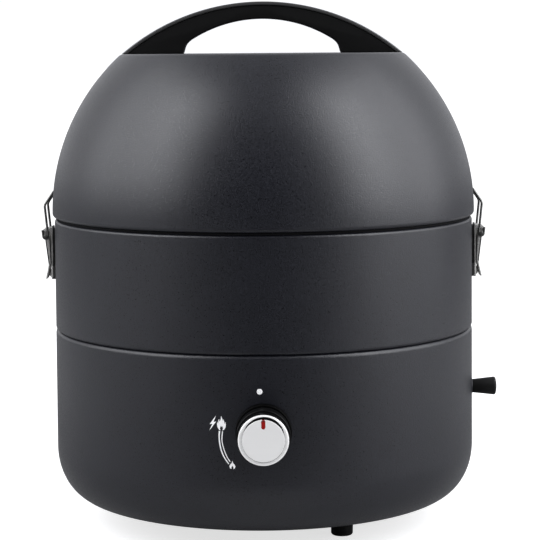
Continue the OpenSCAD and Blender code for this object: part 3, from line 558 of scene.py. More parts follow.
@dataclass(frozen=True)
class Finish:
    """One surface finish and the numbers that its material is built from."""

    name: str
    colour: Colour
    grain: Grain
    grain_size: float
    roughness: float
    relief: float
    metallic: float = 0.0
    specular: float = 0.5
    colour_spread: float = 0.12
    contrast: float = 1.0
    roughness_spread: float = 0.08
    stretch: Spot = (1.0, 1.0, 1.0)
    shift: Spot = (0.0, 0.0, 0.0)
    turn: Spot = (0.0, 0.0, 0.0)

    def shade(self, factor: float) -> tuple[float, ...]:
        """The finish's colour times a factor, as far as a colour can go."""
        return (*(min(value * factor, 1) for value in self.colour), 1)

    @cache
    def material(self) -> bpy.types.Material:
        """Builds the material, once.

        Returns:
            A material whose colour, roughness and relief follow the finish's grain.
        """
        material = bpy.data.materials.new(self.name)
        material.use_nodes = True
        wiring = Wiring(material.node_tree)
        place = wiring.add("Mapping", {
            "Vector": wiring.add("TexCoord", {}, "Object"),
            "Location": [value * MM for value in self.shift],
            "Rotation": [math.radians(value) for value in self.turn],
            "Scale": self.stretch})
        size = self.grain_size * MM
        grain = wiring.add("Group", {"Place": place, "Size": size},
                           node_tree=grain_group(self.grain)).node.outputs
        half = 0.5 / self.contrast
        tone = wiring.ramp(grain["Tone"], (0.5 - half, 0.5 + half))
        dark, light = self.shade(1 - self.colour_spread), self.shade(1 + self.colour_spread)
        rough = (max(self.roughness - self.roughness_spread, 0.02),
                 min(self.roughness + self.roughness_spread, 1.0))
        wiring.feed(material.node_tree.nodes["Principled BSDF"], {
            "Base Color": wiring.add("Mix", {0: tone, 6: dark, 7: light}, 2, data_type="RGBA"),
            "Metallic": self.metallic,
            "Specular IOR Level": self.specular,
            "Roughness": wiring.ramp(grain["Tone"], (0.3, 0.7), rough),
            "Normal": wiring.add("Bump", {
                "Distance": self.relief * MM, "Height": grain["Height"]})})
        return material


def grey(tone: float) -> Colour:
    """A colour without hue."""
    return (tone, tone, tone)


class Finishes:
    """Every finish on the grill."""

    TO_KNOB = (0.0, 0.0, -KNOB_Z)
    FACING_FRONT = (90.0, 0.0, 0.0)
    POWDER_COAT = Finish(
        "anthracite powder coat", (0.0062, 0.0067, 0.0102), Grain.POWDER, 0.95, 0.36, 0.16,
        colour_spread=0.6, contrast=2.6, roughness_spread=0.1)
    RUBBER = Finish("rubber", grey(0.0035), Grain.MOULDED, 0.5, 0.6, 0.02, specular=0.25)
    SEAL = Finish(
        "black heat seal", (0.003, 0.003, 0.0035), Grain.MOULDED, 0.6, 0.8, 0.02, specular=0.1)
    BLACK_PLASTIC = Finish(
        "black plastic", grey(0.0016), Grain.MOULDED, 0.45, 0.42, 0.012, specular=0.13)
    BEZEL_PLASTIC = Finish(
        "deep black plastic", grey(0.0008), Grain.MOULDED, 0.45, 0.5, 0.012, specular=0.05)
    GRIP_PLASTIC = Finish(
        "textured grip plastic", grey(0.002), Grain.MOULDED, 0.7, 0.6, 0.03, specular=0.13)
    STRAP = Finish(
        "dark strap", grey(0.05), Grain.BRUSHED, 0.6, 0.34, 0.001, 0.35, 0.9,
        stretch=(0.1, 1.0, 1.0))
    ZINC = Finish(
        "zinc plate", (0.42, 0.42, 0.41), Grain.BRUSHED, 0.8, 0.42, 0.008, 1.0,
        stretch=(1.0, 1.0, 0.15))
    STAINLESS = Finish(
        "brushed stainless", (0.6, 0.59, 0.57), Grain.BRUSHED, 0.6, 0.3, 0.006, 1.0,
        stretch=(1.0, 1.0, 0.06))
    CAST_IRON = Finish("enamelled iron", grey(0.012), Grain.CAST, 1.2, 0.38, 0.08)
    BRASS = Finish("brass", (0.68, 0.49, 0.2), Grain.BRUSHED, 0.5, 0.28, 0.004, 1.0)
    COPPER = Finish("copper pipe", (0.66, 0.33, 0.2), Grain.BRUSHED, 0.8, 0.25, 0.004, 1.0)
    CERAMIC = Finish("glazed ceramic", (0.78, 0.75, 0.68), Grain.CAST, 1.5, 0.2, 0.004)
    LATCH_STEEL = Finish(
        "nickel-plated latch steel", (0.42, 0.415, 0.4), Grain.BRUSHED, 1.4, 0.42, 0.05, 0.35,
        colour_spread=0.9, stretch=(1.0, 1.0, 0.7))
    # painted shade: a dark colour that stands in for the shadow behind the latch plate
    PAD = Finish(
        "dark pad", grey(0.028), Grain.MOULDED, 1.4, 0.5, 0.03, specular=0.3, colour_spread=0.7)
    BAIL_STEEL = Finish("bail wire", (0.16, 0.16, 0.155), Grain.BRUSHED, 0.5, 0.32, 0.004, 1.0)
    KNOB_RING = Finish(
        "polished knob ring", (0.82, 0.815, 0.80), Grain.TURNED, 0.25, 0.25, 0.001, 0.1,
        colour_spread=0.03, shift=TO_KNOB, turn=FACING_FRONT)
    KNOB_FACE = Finish(
        "satin knob face", (0.73, 0.725, 0.71), Grain.TURNED, 0.3, 0.4, 0.001, 0.12,
        colour_spread=0.03, shift=TO_KNOB, turn=FACING_FRONT)
    POINTER_RED = Finish(
        "red pointer", (0.25, 0.003, 0.001), Grain.MOULDED, 0.4, 0.5, 0.003, specular=0.15)
    MARK_WHITE = Finish("white marks", (0.9, 0.9, 0.89), Grain.MOULDED, 0.3, 0.5, 0.003)

    SLOTS = {
        "paint": POWDER_COAT, "rubber": RUBBER, "black_plastic": BLACK_PLASTIC,
        "strap_steel": STRAP, "steel": ZINC, "stainless": STAINLESS, "cast_iron": CAST_IRON,
        "brass": BRASS, "copper": COPPER, "ceramic": CERAMIC, "knob_silver": KNOB_RING,
        "pointer_red": POINTER_RED, "latch_steel": LATCH_STEEL,
    }


def dress_nodes() -> None:
    """Gives each CAD node that still shows the finish of its material slot."""
    for name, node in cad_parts.items():
        for slot in node.material_slots:
            kind = slot.material.name.split(".")[0]
            slot.link = "OBJECT"
            slot.material = Finishes.SLOTS[kind].material()
        log.info("dressed %s", name)


def hand_over(piece: Piece, finish: Finish, body: str, node: str = "", slot: str = "") -> None:
    """Paints a piece, sets it on its body and hides the CAD node that it replaces.

    Args:
        piece: The finished shape.
        finish: Its finish.
        body: The CAD body that it moves with.
        node: The CAD node that it replaces, if there is one.
        slot: Not used.
    """
    piece.data.materials.clear()
    piece.data.materials.append(finish.material())
    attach(piece, body)
    if node:
        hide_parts(node)
    log.info("made %s on %s", piece.name, body)


# Shells


@dataclass
class Shells:
    """The bowl, the band and the domed lid, all spun from sheet.

    Beside each rounding the flat has a point of its own, held close, which keeps its shade even.
    """

    hold: float = 0.4
    body_r: float = WALL_R
    sheet: float = 2.0
    bowl_z: float = 22.0
    joint_z: float = 163.0
    band_top_z: float = 254.1
    edge_w: float = 30.0
    edge_h: float = 42.0
    lip_r: float = 2.4
    bowl_lip_r: float = 3.8
    flange_w: float = 10.0
    floor_rings: Flat = (45.0, 80.0)
    vents: int = 12
    vent_ends_r: Flat = (52.0, 72.0)
    vent_half_w: float = 3.0
    knob_hole_r: float = 13.6
    inlet_hole_r: float = 5.3
    spigot_r: Flat = (163.4, 164.7)
    spigot_h: float = 8.0
    band_edge_r: float = 2.4
    band_mouth_r: float = 152.0
    dome_r: float = 176.8
    lid_z: float = 256.1
    dome_z: float = 259.6
    crown_z: float = 391.0
    lid_edge_r: float = 3.0
    crown_edge_r: float = 7.0
    lid_mouth_r: float = 163.5
    seal_r: Flat = (166.0, 173.7)
    window_w: float = 27.0
    window_z: Flat = (268.75, 282.25)
    steps: int = 256

    def build(self) -> None:
        """Makes the three shells and the seal, and dresses them."""
        hand_over(self.bowl(), Finishes.POWDER_COAT, "base", "lower_bowl", "paint")
        hand_over(self.band(), Finishes.POWDER_COAT, "base", "base_band", "paint")
        hand_over(self.lid(), Finishes.POWDER_COAT, "lid", "lid_shell", "paint")
        hand_over(self.seal(), Finishes.SEAL, "base", "rim_seal", "rubber")

    def bowl(self) -> Piece:
        """The lower bowl with its vents and the holes for knob and inlet.

        Returns:
            The bowl.
        """
        r, t, lip = self.body_r, self.sheet, self.bowl_lip_r
        low, high, flange = self.bowl_z, self.joint_z, self.body_r - self.flange_w
        edge = (r - self.edge_w, low + self.edge_h)
        floor = [(x, low) for x in (0.0, *self.floor_rings)]
        profile = (
            floor + [(edge[0] - 1, low)]
            + oval(edge, self.edge_w, self.edge_h, -90, 0, 44)
            + rise(r, edge[1], high - lip, 14)
            + [(r, high - lip - self.hold)]
            + arc((r - lip, high - lip), lip, 0, 90, 10)
            + [(flange, high), (flange, high - t), (r - t, high - t)]
            + rise(r - t, high - t, edge[1], 6)
            + oval(edge, self.edge_w - t, self.edge_h - t, 0, -90, 24)
            + [(x, z + t) for x, z in reversed(floor)]
        )
        cutters = [self.drill("knob hole", KNOB_LATHE, self.knob_hole_r, 48),
                   self.drill("inlet hole", INLET_LATHE, self.inlet_hole_r, 32)]
        inner, outer = self.vent_ends_r
        slot = (arc((outer, 0), self.vent_half_w, -90, 90, 8)
                + arc((inner, 0), self.vent_half_w, 90, 270, 8))
        vent = slab("vent", [(x, y, low - 1) for x, y in slot], (0, 0, 2 * t + 1))
        cutters.append(vent)
        for i in range(1, self.vents):
            copy = copied(vent, "vent")
            copy.rotation_euler = (0, 0, math.tau * i / self.vents)
            cutters.append(settle(copy))
        return carve(turned("bowl", BODY_LATHE, profile, self.steps), cutters)

    def drill(self, name: str, lathe: Lathe, radius: float, steps: int) -> Piece:
        """The shape that cuts a round hole through the wall."""
        low, high = self.body_r - 10, self.body_r + 10
        return turned(name, lathe, [(0, low), (radius, low), (radius, high), (0, high)], steps)

    def band(self) -> Piece:
        """The band between the bowl and the rim, with its spigot.

        Returns:
            The band.
        """
        r, t, lip = self.body_r, self.sheet, self.lip_r
        z, rim, edge, mouth = self.joint_z, self.band_top_z, self.band_edge_r, self.band_mouth_r
        top = (r - edge, rim - edge)
        inner, outer = self.spigot_r
        profile = (
            arc((r - lip, z + lip), lip, -90, 0, 10)
            + [(r, z + lip + self.hold)]
            + rise(r, z + lip, top[1], 12)
            + [(r, top[1] - self.hold)]
            + arc(top, edge, 0, 90, 14)
            + [(top[0] - self.hold, rim), (mouth, rim), (mouth, rim - t),
               (top[0] - self.hold, rim - t)]
            + arc(top, edge - t, 90, 0, 8)
            + [(r - t, z + t), (inner, z + t), (inner - 0.3, z - self.spigot_h),
               (outer, z - self.spigot_h), (outer, z)]
        )
        return turned("band", BODY_LATHE, profile, self.steps, closed=True)

    def lid(self) -> Piece:
        """The dome with its flat top, its rim flange and the two latch windows.

        Returns:
            The lid.
        """
        r, t, z, rim = self.dome_r, self.sheet, self.lid_z, self.lid_edge_r
        centre = (0.0, self.dome_z)
        flat, crown = self.crown_z, self.crown_edge_r
        tilt = math.asin((flat - crown - self.dome_z) / (r - crown))
        top = math.degrees(tilt)
        corner = ((r - crown) * math.cos(tilt), flat - crown)
        foot = (r - rim, z + rim)
        profile = (
            [(0, flat), (corner[0] - 0.5, flat)]
            + arc(corner, crown, 90, top, 12)
            + arc(centre, r, top - 0.2, 0, 60)
            + [(r, foot[1] + self.hold)]
            + arc(foot, rim, 0, -90, 12)
            + [(foot[0] - self.hold, z), (self.lid_mouth_r, z), (self.lid_mouth_r, z + t),
               (foot[0] - self.hold, z + t)]
            + arc(foot, rim - t, -90, 0, 5)
            + arc(centre, r - t, 0, top, 40)
            + arc(corner, crown - t, top, 90, 5)
            + [(0, flat - t)]
        )
        lid = turned("lid", BODY_LATHE, profile, self.steps)
        return carve(lid, [self.window(side) for side in (-1, 1)])

    def seal(self) -> Piece:
        """The black ring between the band and the lid, which shows in the gap.

        Returns:
            The ring.
        """
        low, high = self.band_top_z + 0.05, self.lid_z - 0.1
        inner, outer = self.seal_r
        ends = [(outer - 0.3, low), (outer, low + 0.3), (outer, high - 0.3), (outer - 0.3, high)]
        profile = [(inner, low), *ends, (inner, high)]
        return turned("rim_ring", BODY_LATHE, profile, self.steps, closed=True)

    def window(self, side: int) -> Piece:
        """The shape that cuts the latch window of one side, 1 for the right and -1 for the left.

        Args:
            side: 1 for the right window and -1 for the left.

        Returns:
            The shape.
        """
        outline = oblong(self.window_w / 2, *self.window_z, 1.5, 4)
        start = [(side * (self.body_r - 10), y, z) for y, z in outline]
        return slab("window", start, (side * 20, 0, 0))


# Handle


@dataclass
class Handle:
    """The black grip and the strap that runs over it.

    SHOULDER is the bend between the finger gap's roof and the lid, counted from the gap's foot.
    """

    crown_z: float = 391.0
    height: float = 43.0
    arc_r: float = 181.01
    strap_t: float = 3.0
    width: float = 26.0
    gap_h: float = 28.8
    gap_half_w: float = 61.4
    gap_rise: float = 18.6
    gap_foot: float = 66.2
    gap_bend: float = 3.8
    seam: float = 0.05
    SHOULDER = [(0.0, 0.0), (-0.65, 1.3), (-1.05, 2.7), (-1.4, 4.1), (-1.85, 5.5), (-2.45, 6.9),
                (-3.3, 8.25), (-4.4, 9.5), (-5.7, 10.65), (-7.05, 11.7)]

    def centre(self) -> Flat:
        """Middle of the handle's outer arc."""
        return (0.0, self.crown_z + self.height - self.arc_r)

    def reach(self, radius: float) -> float:
        """Angle in degrees at which an arc of that radius meets the lid's flat top."""
        return math.degrees(math.asin((self.crown_z - self.centre()[1]) / radius))

    def build(self) -> None:
        """Makes the grip and the strap and dresses them."""
        hand_over(self.grip(), Finishes.GRIP_PLASTIC, "lid", "handle_grip", "black_plastic")
        hand_over(self.strap(), Finishes.STRAP, "lid", "handle_strap", "strap_steel")

    def grip(self) -> Piece:
        """The grip, a slab with the finger gap and soft edges.

        Returns:
            The grip.
        """
        radius = self.arc_r - self.strap_t - self.seam
        foot = self.reach(radius)
        z = self.crown_z
        gap_r = (self.gap_half_w**2 + self.gap_rise**2) / (2 * self.gap_rise)
        gap_c = (0.0, z + self.gap_h - gap_r)
        end = math.degrees(math.asin((self.gap_half_w - self.gap_bend) / gap_r))
        side = [(self.gap_foot + x, z + y) for x, y in self.SHOULDER]
        gap = (
            side + arc(gap_c, gap_r, 90 - end, 90 + end, 48)
            + [(-x, y) for x, y in reversed(side)]
        )
        outline = arc(self.centre(), radius, foot, 180 - foot, 72) + list(reversed(gap))
        half = self.width / 2 - 1
        return plank("grip", outline, half, -half, 1.0, 4)

    def strap(self) -> Piece:
        """The strap with rounded edges that stands a little proud of the grip.

        Returns:
            The strap.
        """
        inner_r = self.arc_r - self.strap_t
        outer, inner = self.reach(self.arc_r), self.reach(inner_r)
        outline = (
            arc(self.centre(), self.arc_r, outer, 180 - outer, 90)
            + arc(self.centre(), inner_r, 180 - inner, inner, 90)
        )
        half = self.width / 2
        return plank("strap", outline, half, -half, 1.4, 5, 40.0)


# Knob


@dataclass
class Knob:
    """The control knob and the ring on the wall behind it."""

    wall: float = WALL_R
    axis_z: float = KNOB_Z
    ring_r: float = 21.4
    ring_t: float = 5.4
    bore_r: float = 12.05
    hub_r: float = 9.0
    skirt_r: float = 20.25
    skirt_out: Flat = (10.4, 22.5)
    barrel_r: float = 19.0
    cap_r: float = 19.0
    cap_out: Flat = (33.6, 35.3)
    cap_inner_r: float = 15.0
    reach: float = 36.9
    # circles of the painted shade round the face: radius, shift and direction of the shift
    shade_circles: tuple[tuple[float, float, float], ...] = ((15.32, 2.58, 83.0), (16.0, 0.42, -90.0))
    face_r: float = 15.9
    face_t: float = 0.5
    pointer: Flat = (3.2, 7.2)
    pointer_up: float = 12.4

    def build(self) -> None:
        """Makes the knob's pieces and dresses them."""
        hand_over(self.bezel(), Finishes.BEZEL_PLASTIC, "base", "knob_bezel", "black_plastic")
        hand_over(self.body(), Finishes.BLACK_PLASTIC, "knob", "knob_body", "black_plastic")
        hand_over(self.cap(), Finishes.KNOB_RING, "knob", "knob_cap", "knob_silver")
        # painted shade: a thin black sheet where the recess round the face lies in shadow
        hand_over(self.painted_shade_crescent(), Finishes.BLACK_PLASTIC, "knob")
        hand_over(self.disc(), Finishes.BLACK_PLASTIC, "knob")
        hand_over(self.face(), Finishes.KNOB_FACE, "knob", "knob_face", "knob_silver")
        hand_over(self.needle(), Finishes.POINTER_RED, "knob", "knob_pointer", "pointer_red")

    def lathe(self, name: str, profile: Sequence[Flat], closed: bool = False) -> Piece:
        """Turns a piece whose profile counts its way out from the wall."""
        outward = [(radius, self.wall + out) for radius, out in profile]
        return turned(name, KNOB_LATHE, outward, 128, closed)

    def bezel(self) -> Piece:
        """The black ring on the wall.

        Returns:
            The ring.
        """
        r, t = self.ring_r, self.ring_t
        profile = (
            [(self.bore_r, -1.8), (r, -1.8), (r, t - 1.3)]
            + arc((r - 1.2, t - 1.2), 1.2, 0, 90, 6)
            + [(self.bore_r + 0.8, t)] + arc((self.bore_r + 0.6, t - 0.6), 0.6, 90, 180, 4)
        )
        return self.lathe("bezel", profile, closed=True)

    def body(self) -> Piece:
        """The knob's black body, with the skirt and the plug that carries the face.

        Returns:
            The body.
        """
        (low, high), (back, front) = self.skirt_out, self.cap_out
        hub, r, plug, soft = self.hub_r, self.skirt_r, self.cap_inner_r - 0.05, 0.8
        profile = (
            [(0, -2), (hub, -2), (hub, low), (r - 0.9, low)]
            + arc((r - soft, low + soft), soft, -90, 0, 4)
            + arc((r - soft, high - soft), soft, 0, 90, 4)
            + [(self.barrel_r, high), (self.barrel_r, back - 0.05), (plug, back - 0.05),
               (plug, front - 0.2), (0, front - 0.2)]
        )
        return self.lathe("knob_barrel", profile)

    def cap(self) -> Piece:
        """The silver ring round the face.

        Returns:
            The ring.
        """
        r, inner = self.cap_r, self.cap_inner_r
        low, high = self.cap_out
        profile = (
            [(inner, low), (r, low), (r, high - 1.3)]
            + arc((r - 1.3, high - 1.3), 1.3, 0, 86, 12)
            + [(r - 2.2, high - 0.06), (inner, high - 0.12)]
        )
        return self.lathe("knob_ring", profile, closed=True)

    def painted_shade_crescent(self) -> Piece:
        """Painted shade: a thin black sheet round the face, wide in the recess above it and thin
        below, that stands in for the shadow there.

        Its outline is the farther of two circles, each given by its radius and by how far and in
        which direction it is shifted.

        Returns:
            The ground.
        """
        outline = []
        for i in range(180):
            a = math.tau * i / 180
            reach = 0.0
            for r, shift, toward in self.shade_circles:
                turn = a - math.radians(toward)
                side = shift * math.sin(turn)
                reach = max(reach, shift * math.cos(turn) + math.sqrt(r * r - side * side))
            outline.append((reach * math.cos(a), self.axis_z + reach * math.sin(a)))
        back = -self.wall - self.cap_out[1] + 0.1
        return plank("knob_painted_shade", outline, back, back - 0.14, 0.0)

    def disc(self) -> Piece:
        """The black disc that carries the face."""
        low, high, r = self.cap_out[1] - 0.2, self.reach - self.face_t, self.face_r - 0.12
        return self.lathe("knob_disc", [(0, low), (r, low), (r, high), (0, high)])

    def face(self) -> Piece:
        """The satin plate on the knob's face.

        Returns:
            The plate.
        """
        out, r, back = self.reach, self.face_r, self.reach - self.face_t
        profile = (
            [(0, back), (r, back), (r, out - 0.32)] + arc((r - 0.3, out - 0.3), 0.3, 0, 90, 4)
            + [(r - 1.5, out), (8, out - 0.01), (0, out - 0.015)]
        )
        return self.lathe("knob_plate", profile)

    def needle(self) -> Piece:
        """The red pointer, a slot-shaped inlay that stands a hair proud of the face.

        Returns:
            The pointer.
        """
        w, length = self.pointer
        half = (length - w) / 2
        ends = arc((0, half), w / 2, 0, 180, 12) + arc((0, -half), w / 2, 180, 360, 12)
        z, front = self.axis_z + self.pointer_up, -self.wall - self.reach
        return plank("pointer", [(x, z + y) for x, y in ends], front + 0.3, front, 0.06)


@dataclass
class WallMarks:
    """The plain white marks round the knob: off, spark, high and low flame."""

    wall: float = WALL_R
    ink: float = 0.1
    sunk: float = 0.02
    shift: Flat = (0.65, -0.35)
    dot: Flat = (-3.5, 136.0)
    dot_r: float = 2.2
    spark: Pair = ((-39.3, 105.6), (2.7, 11.8))
    high: Pair = ((-32.7, 106.0), (3.4, 11.2))
    low: Pair = ((-24.6, 76.6), (2.3, 6.4))
    SPARK_SHAPE = [(0.95, 1.0), (-0.9, 0.42), (-0.12, 0.45), (-1.0, 0.0), (0.95, 0.6), (0.2, 0.58)]
    HIGH_SHAPE = [
        (-0.22, 0.0), (-0.62, 0.07), (-0.92, 0.24), (-1.0, 0.44), (-0.88, 0.6), (-0.72, 0.46),
        (-0.66, 0.68), (-0.5, 0.8), (-0.44, 0.6), (-0.16, 0.76), (-0.04, 1.0), (0.16, 0.84),
        (0.34, 0.66), (0.46, 0.78), (0.66, 0.56), (0.78, 0.42), (0.92, 0.6), (1.0, 0.42),
        (0.92, 0.22), (0.6, 0.06), (0.2, 0.0), (0.36, 0.14), (0.14, 0.32), (0.0, 0.22),
        (-0.12, 0.34), (-0.36, 0.14)]
    LOW_SHAPE = [
        (-0.3, 0.0), (-0.78, 0.08), (-1.0, 0.32), (-0.72, 0.56), (-0.24, 0.7), (0.0, 1.0),
        (0.26, 0.72), (0.7, 0.54), (1.0, 0.32), (0.78, 0.08), (0.3, 0.0), (0.36, 0.16),
        (0.0, 0.42), (-0.36, 0.16)]
    OUTER_ARC = [(-34.2, 105.6), (-34.5, 100.2), (-33.4, 92.3), (-31.0, 85.9), (-27.3, 80.4)]
    INNER_ARC = [(-32.0, 105.4), (-32.4, 98.6), (-31.3, 92.8), (-28.9, 86.4), (-26.3, 82.2)]

    def build(self) -> None:
        """Makes the marks and dresses them."""
        marks = {
            "mark_dot": arc(self.dot, self.dot_r, 0, 345, 23),
            "mark_spark": self.scaled(self.SPARK_SHAPE, self.spark),
            "mark_high_flame": self.scaled(self.HIGH_SHAPE, self.high),
            "mark_low_flame": self.scaled(self.LOW_SHAPE, self.low),
            "mark_outer_arc": self.stroke(self.OUTER_ARC, 1.15, 0.75),
            "mark_inner_arc": self.stroke(self.INNER_ARC, 0.75, 0.6),
        }
        for name, outline in marks.items():
            hand_over(self.mark(name, outline), Finishes.MARK_WHITE, "base")

    def scaled(self, shape: Sequence[Flat], room: Pair) -> list[Flat]:
        """Fits a shape of half width 1 and height 1 into its room on the wall."""
        (x, z), (half, height) = room
        return [(x + half * px, z + height * pz) for px, pz in shape]

    def stroke(self, line: Sequence[Flat], start: float, end: float) -> list[Flat]:
        """Outline of a curved line whose width tapers.

        Args:
            line: Points that the line passes through.
            start: Its width at the first point.
            end: Its width at the last point.

        Returns:
            The closed outline.
        """
        points = self.curve(line, 6)
        left, right = [], []
        for i, (x, z) in enumerate(points):
            before, after = points[max(i - 1, 0)], points[min(i + 1, len(points) - 1)]
            way = Vector((after[0] - before[0], after[1] - before[1])).normalized()
            half = (start + (end - start) * i / (len(points) - 1)) / 2
            left.append((x - way.y * half, z + way.x * half))
            right.append((x + way.y * half, z - way.x * half))
        return left + right[::-1]

    def curve(self, line: Sequence[Flat], steps: int) -> list[Flat]:
        """A smooth curve through points.

        Args:
            line: The points.
            steps: Number of stretches between two of them.

        Returns:
            The curve's points.
        """
        ends = [line[0], *line, line[-1]]
        points = []
        for a, b, c, d in zip(ends, ends[1:], ends[2:], ends[3:]):
            for i in range(steps):
                t = i / steps
                points.append(tuple(
                    0.5 * (2 * q + (r - p) * t + (2 * p - 5 * q + 4 * r - s) * t**2
                           + (3 * q - p - 3 * r + s) * t**3)
                    for p, q, r, s in zip(a, b, c, d)))
        return points + [line[-1]]

    def mark(self, name: str, outline: Sequence[Flat]) -> Piece:
        """Lays an outline on the round wall as a thin layer.

        Args:
            name: Name of the new piece.
            outline: Points of place across and height.

        Returns:
            The piece.
        """
        spots = []
        for x, z in outline:
            x, z = x + self.shift[0], z + self.shift[1]
            spots.append((x, -math.sqrt(self.wall**2 - x * x) + self.sunk, z))
        piece = slab(name, spots, (0, -self.ink - self.sunk, 0))
        modifier = piece.modifiers.new("facets", "TRIANGULATE")
        bpy.ops.object.modifier_apply(modifier=modifier.name)
        return piece


# Inlet and feet


@dataclass
class Inlet:
    """The rubber cap on the gas inlet and the ring round its hole."""

    wall: float = WALL_R
    start: float = 176.1
    length: float = 20.4
    neck_r: float = 5.7
    end_r: float = 7.6
    edge: float = 1.7
    bulge: float = 0.7
    bore_r: float = 4.65
    bore_end: float = 190.3

    def build(self) -> None:
        """Makes the cap and the ring and dresses them."""
        wall, start, end, neck = self.wall, self.start, self.start + self.length, self.neck_r
        flank = end - self.edge - self.bulge
        cap = turned("inlet_cap", INLET_LATHE, (
            [(0, self.bore_end), (self.bore_r, self.bore_end), (self.bore_r, start),
             (neck - 0.2, start), (neck, start + 0.3)]
            + arc((self.end_r - self.edge, flank), self.edge, -6, 82, 10)
            + [(4.0, end - 0.22), (2.0, end - 0.05), (0, end)]))
        hand_over(cap, Finishes.RUBBER, "cap", "inlet_cap", "black_plastic")
        ring = turned("inlet_ring", INLET_LATHE, (
            [(4.7, wall - 3.2), (5.15, wall - 3.2), (5.15, wall - 0.3), (6.8, wall - 0.3)]
            + arc((6.2, wall + 0.35), 0.6, 0, 90, 5)
            + [(4.9, wall + 0.95), (4.7, wall + 0.7)]), closed=True)
        hand_over(ring, Finishes.POWDER_COAT, "base", "inlet_grommet", "steel")


@dataclass
class Feet:
    """The three rubber feet."""

    height: float = 22.0
    radius: float = 9.25
    ring_r: float = 97.0
    first: float = -50.0
    names: tuple[str, ...] = ("foot_front_right", "foot_back", "foot_left")

    def build(self) -> None:
        """Turns one foot, copies it and dresses all three."""
        h, r = self.height, self.radius
        lathe = Lathe((self.ring_r, 0, 0), (0, 0, 1), (1, 0, 0))
        foot = turned("foot", lathe, (
            [(0, 3), (3.6, 3), (4.0, 2.7), (4.0, 0.3), (4.3, 0)]
            + [(6.6, 0), (7.0, 0.06)] + arc((r - 2.35, 2.1), 2.0, -78, -3, 8)
            + [(r, h - 0.8)] + arc((r - 0.3, h - 0.3), 0.3, 0, 90, 3) + [(0, h)]))
        made = [foot, *(copied(foot, name) for name in self.names[1:])]
        for i, (piece, name) in enumerate(zip(made, self.names)):
            piece.name = piece.data.name = name + "_rubber"
            piece.rotation_euler = (0, 0, math.radians(self.first + 120 * i))
            hand_over(settle(piece), Finishes.RUBBER, "base", name, "rubber")


# Latches


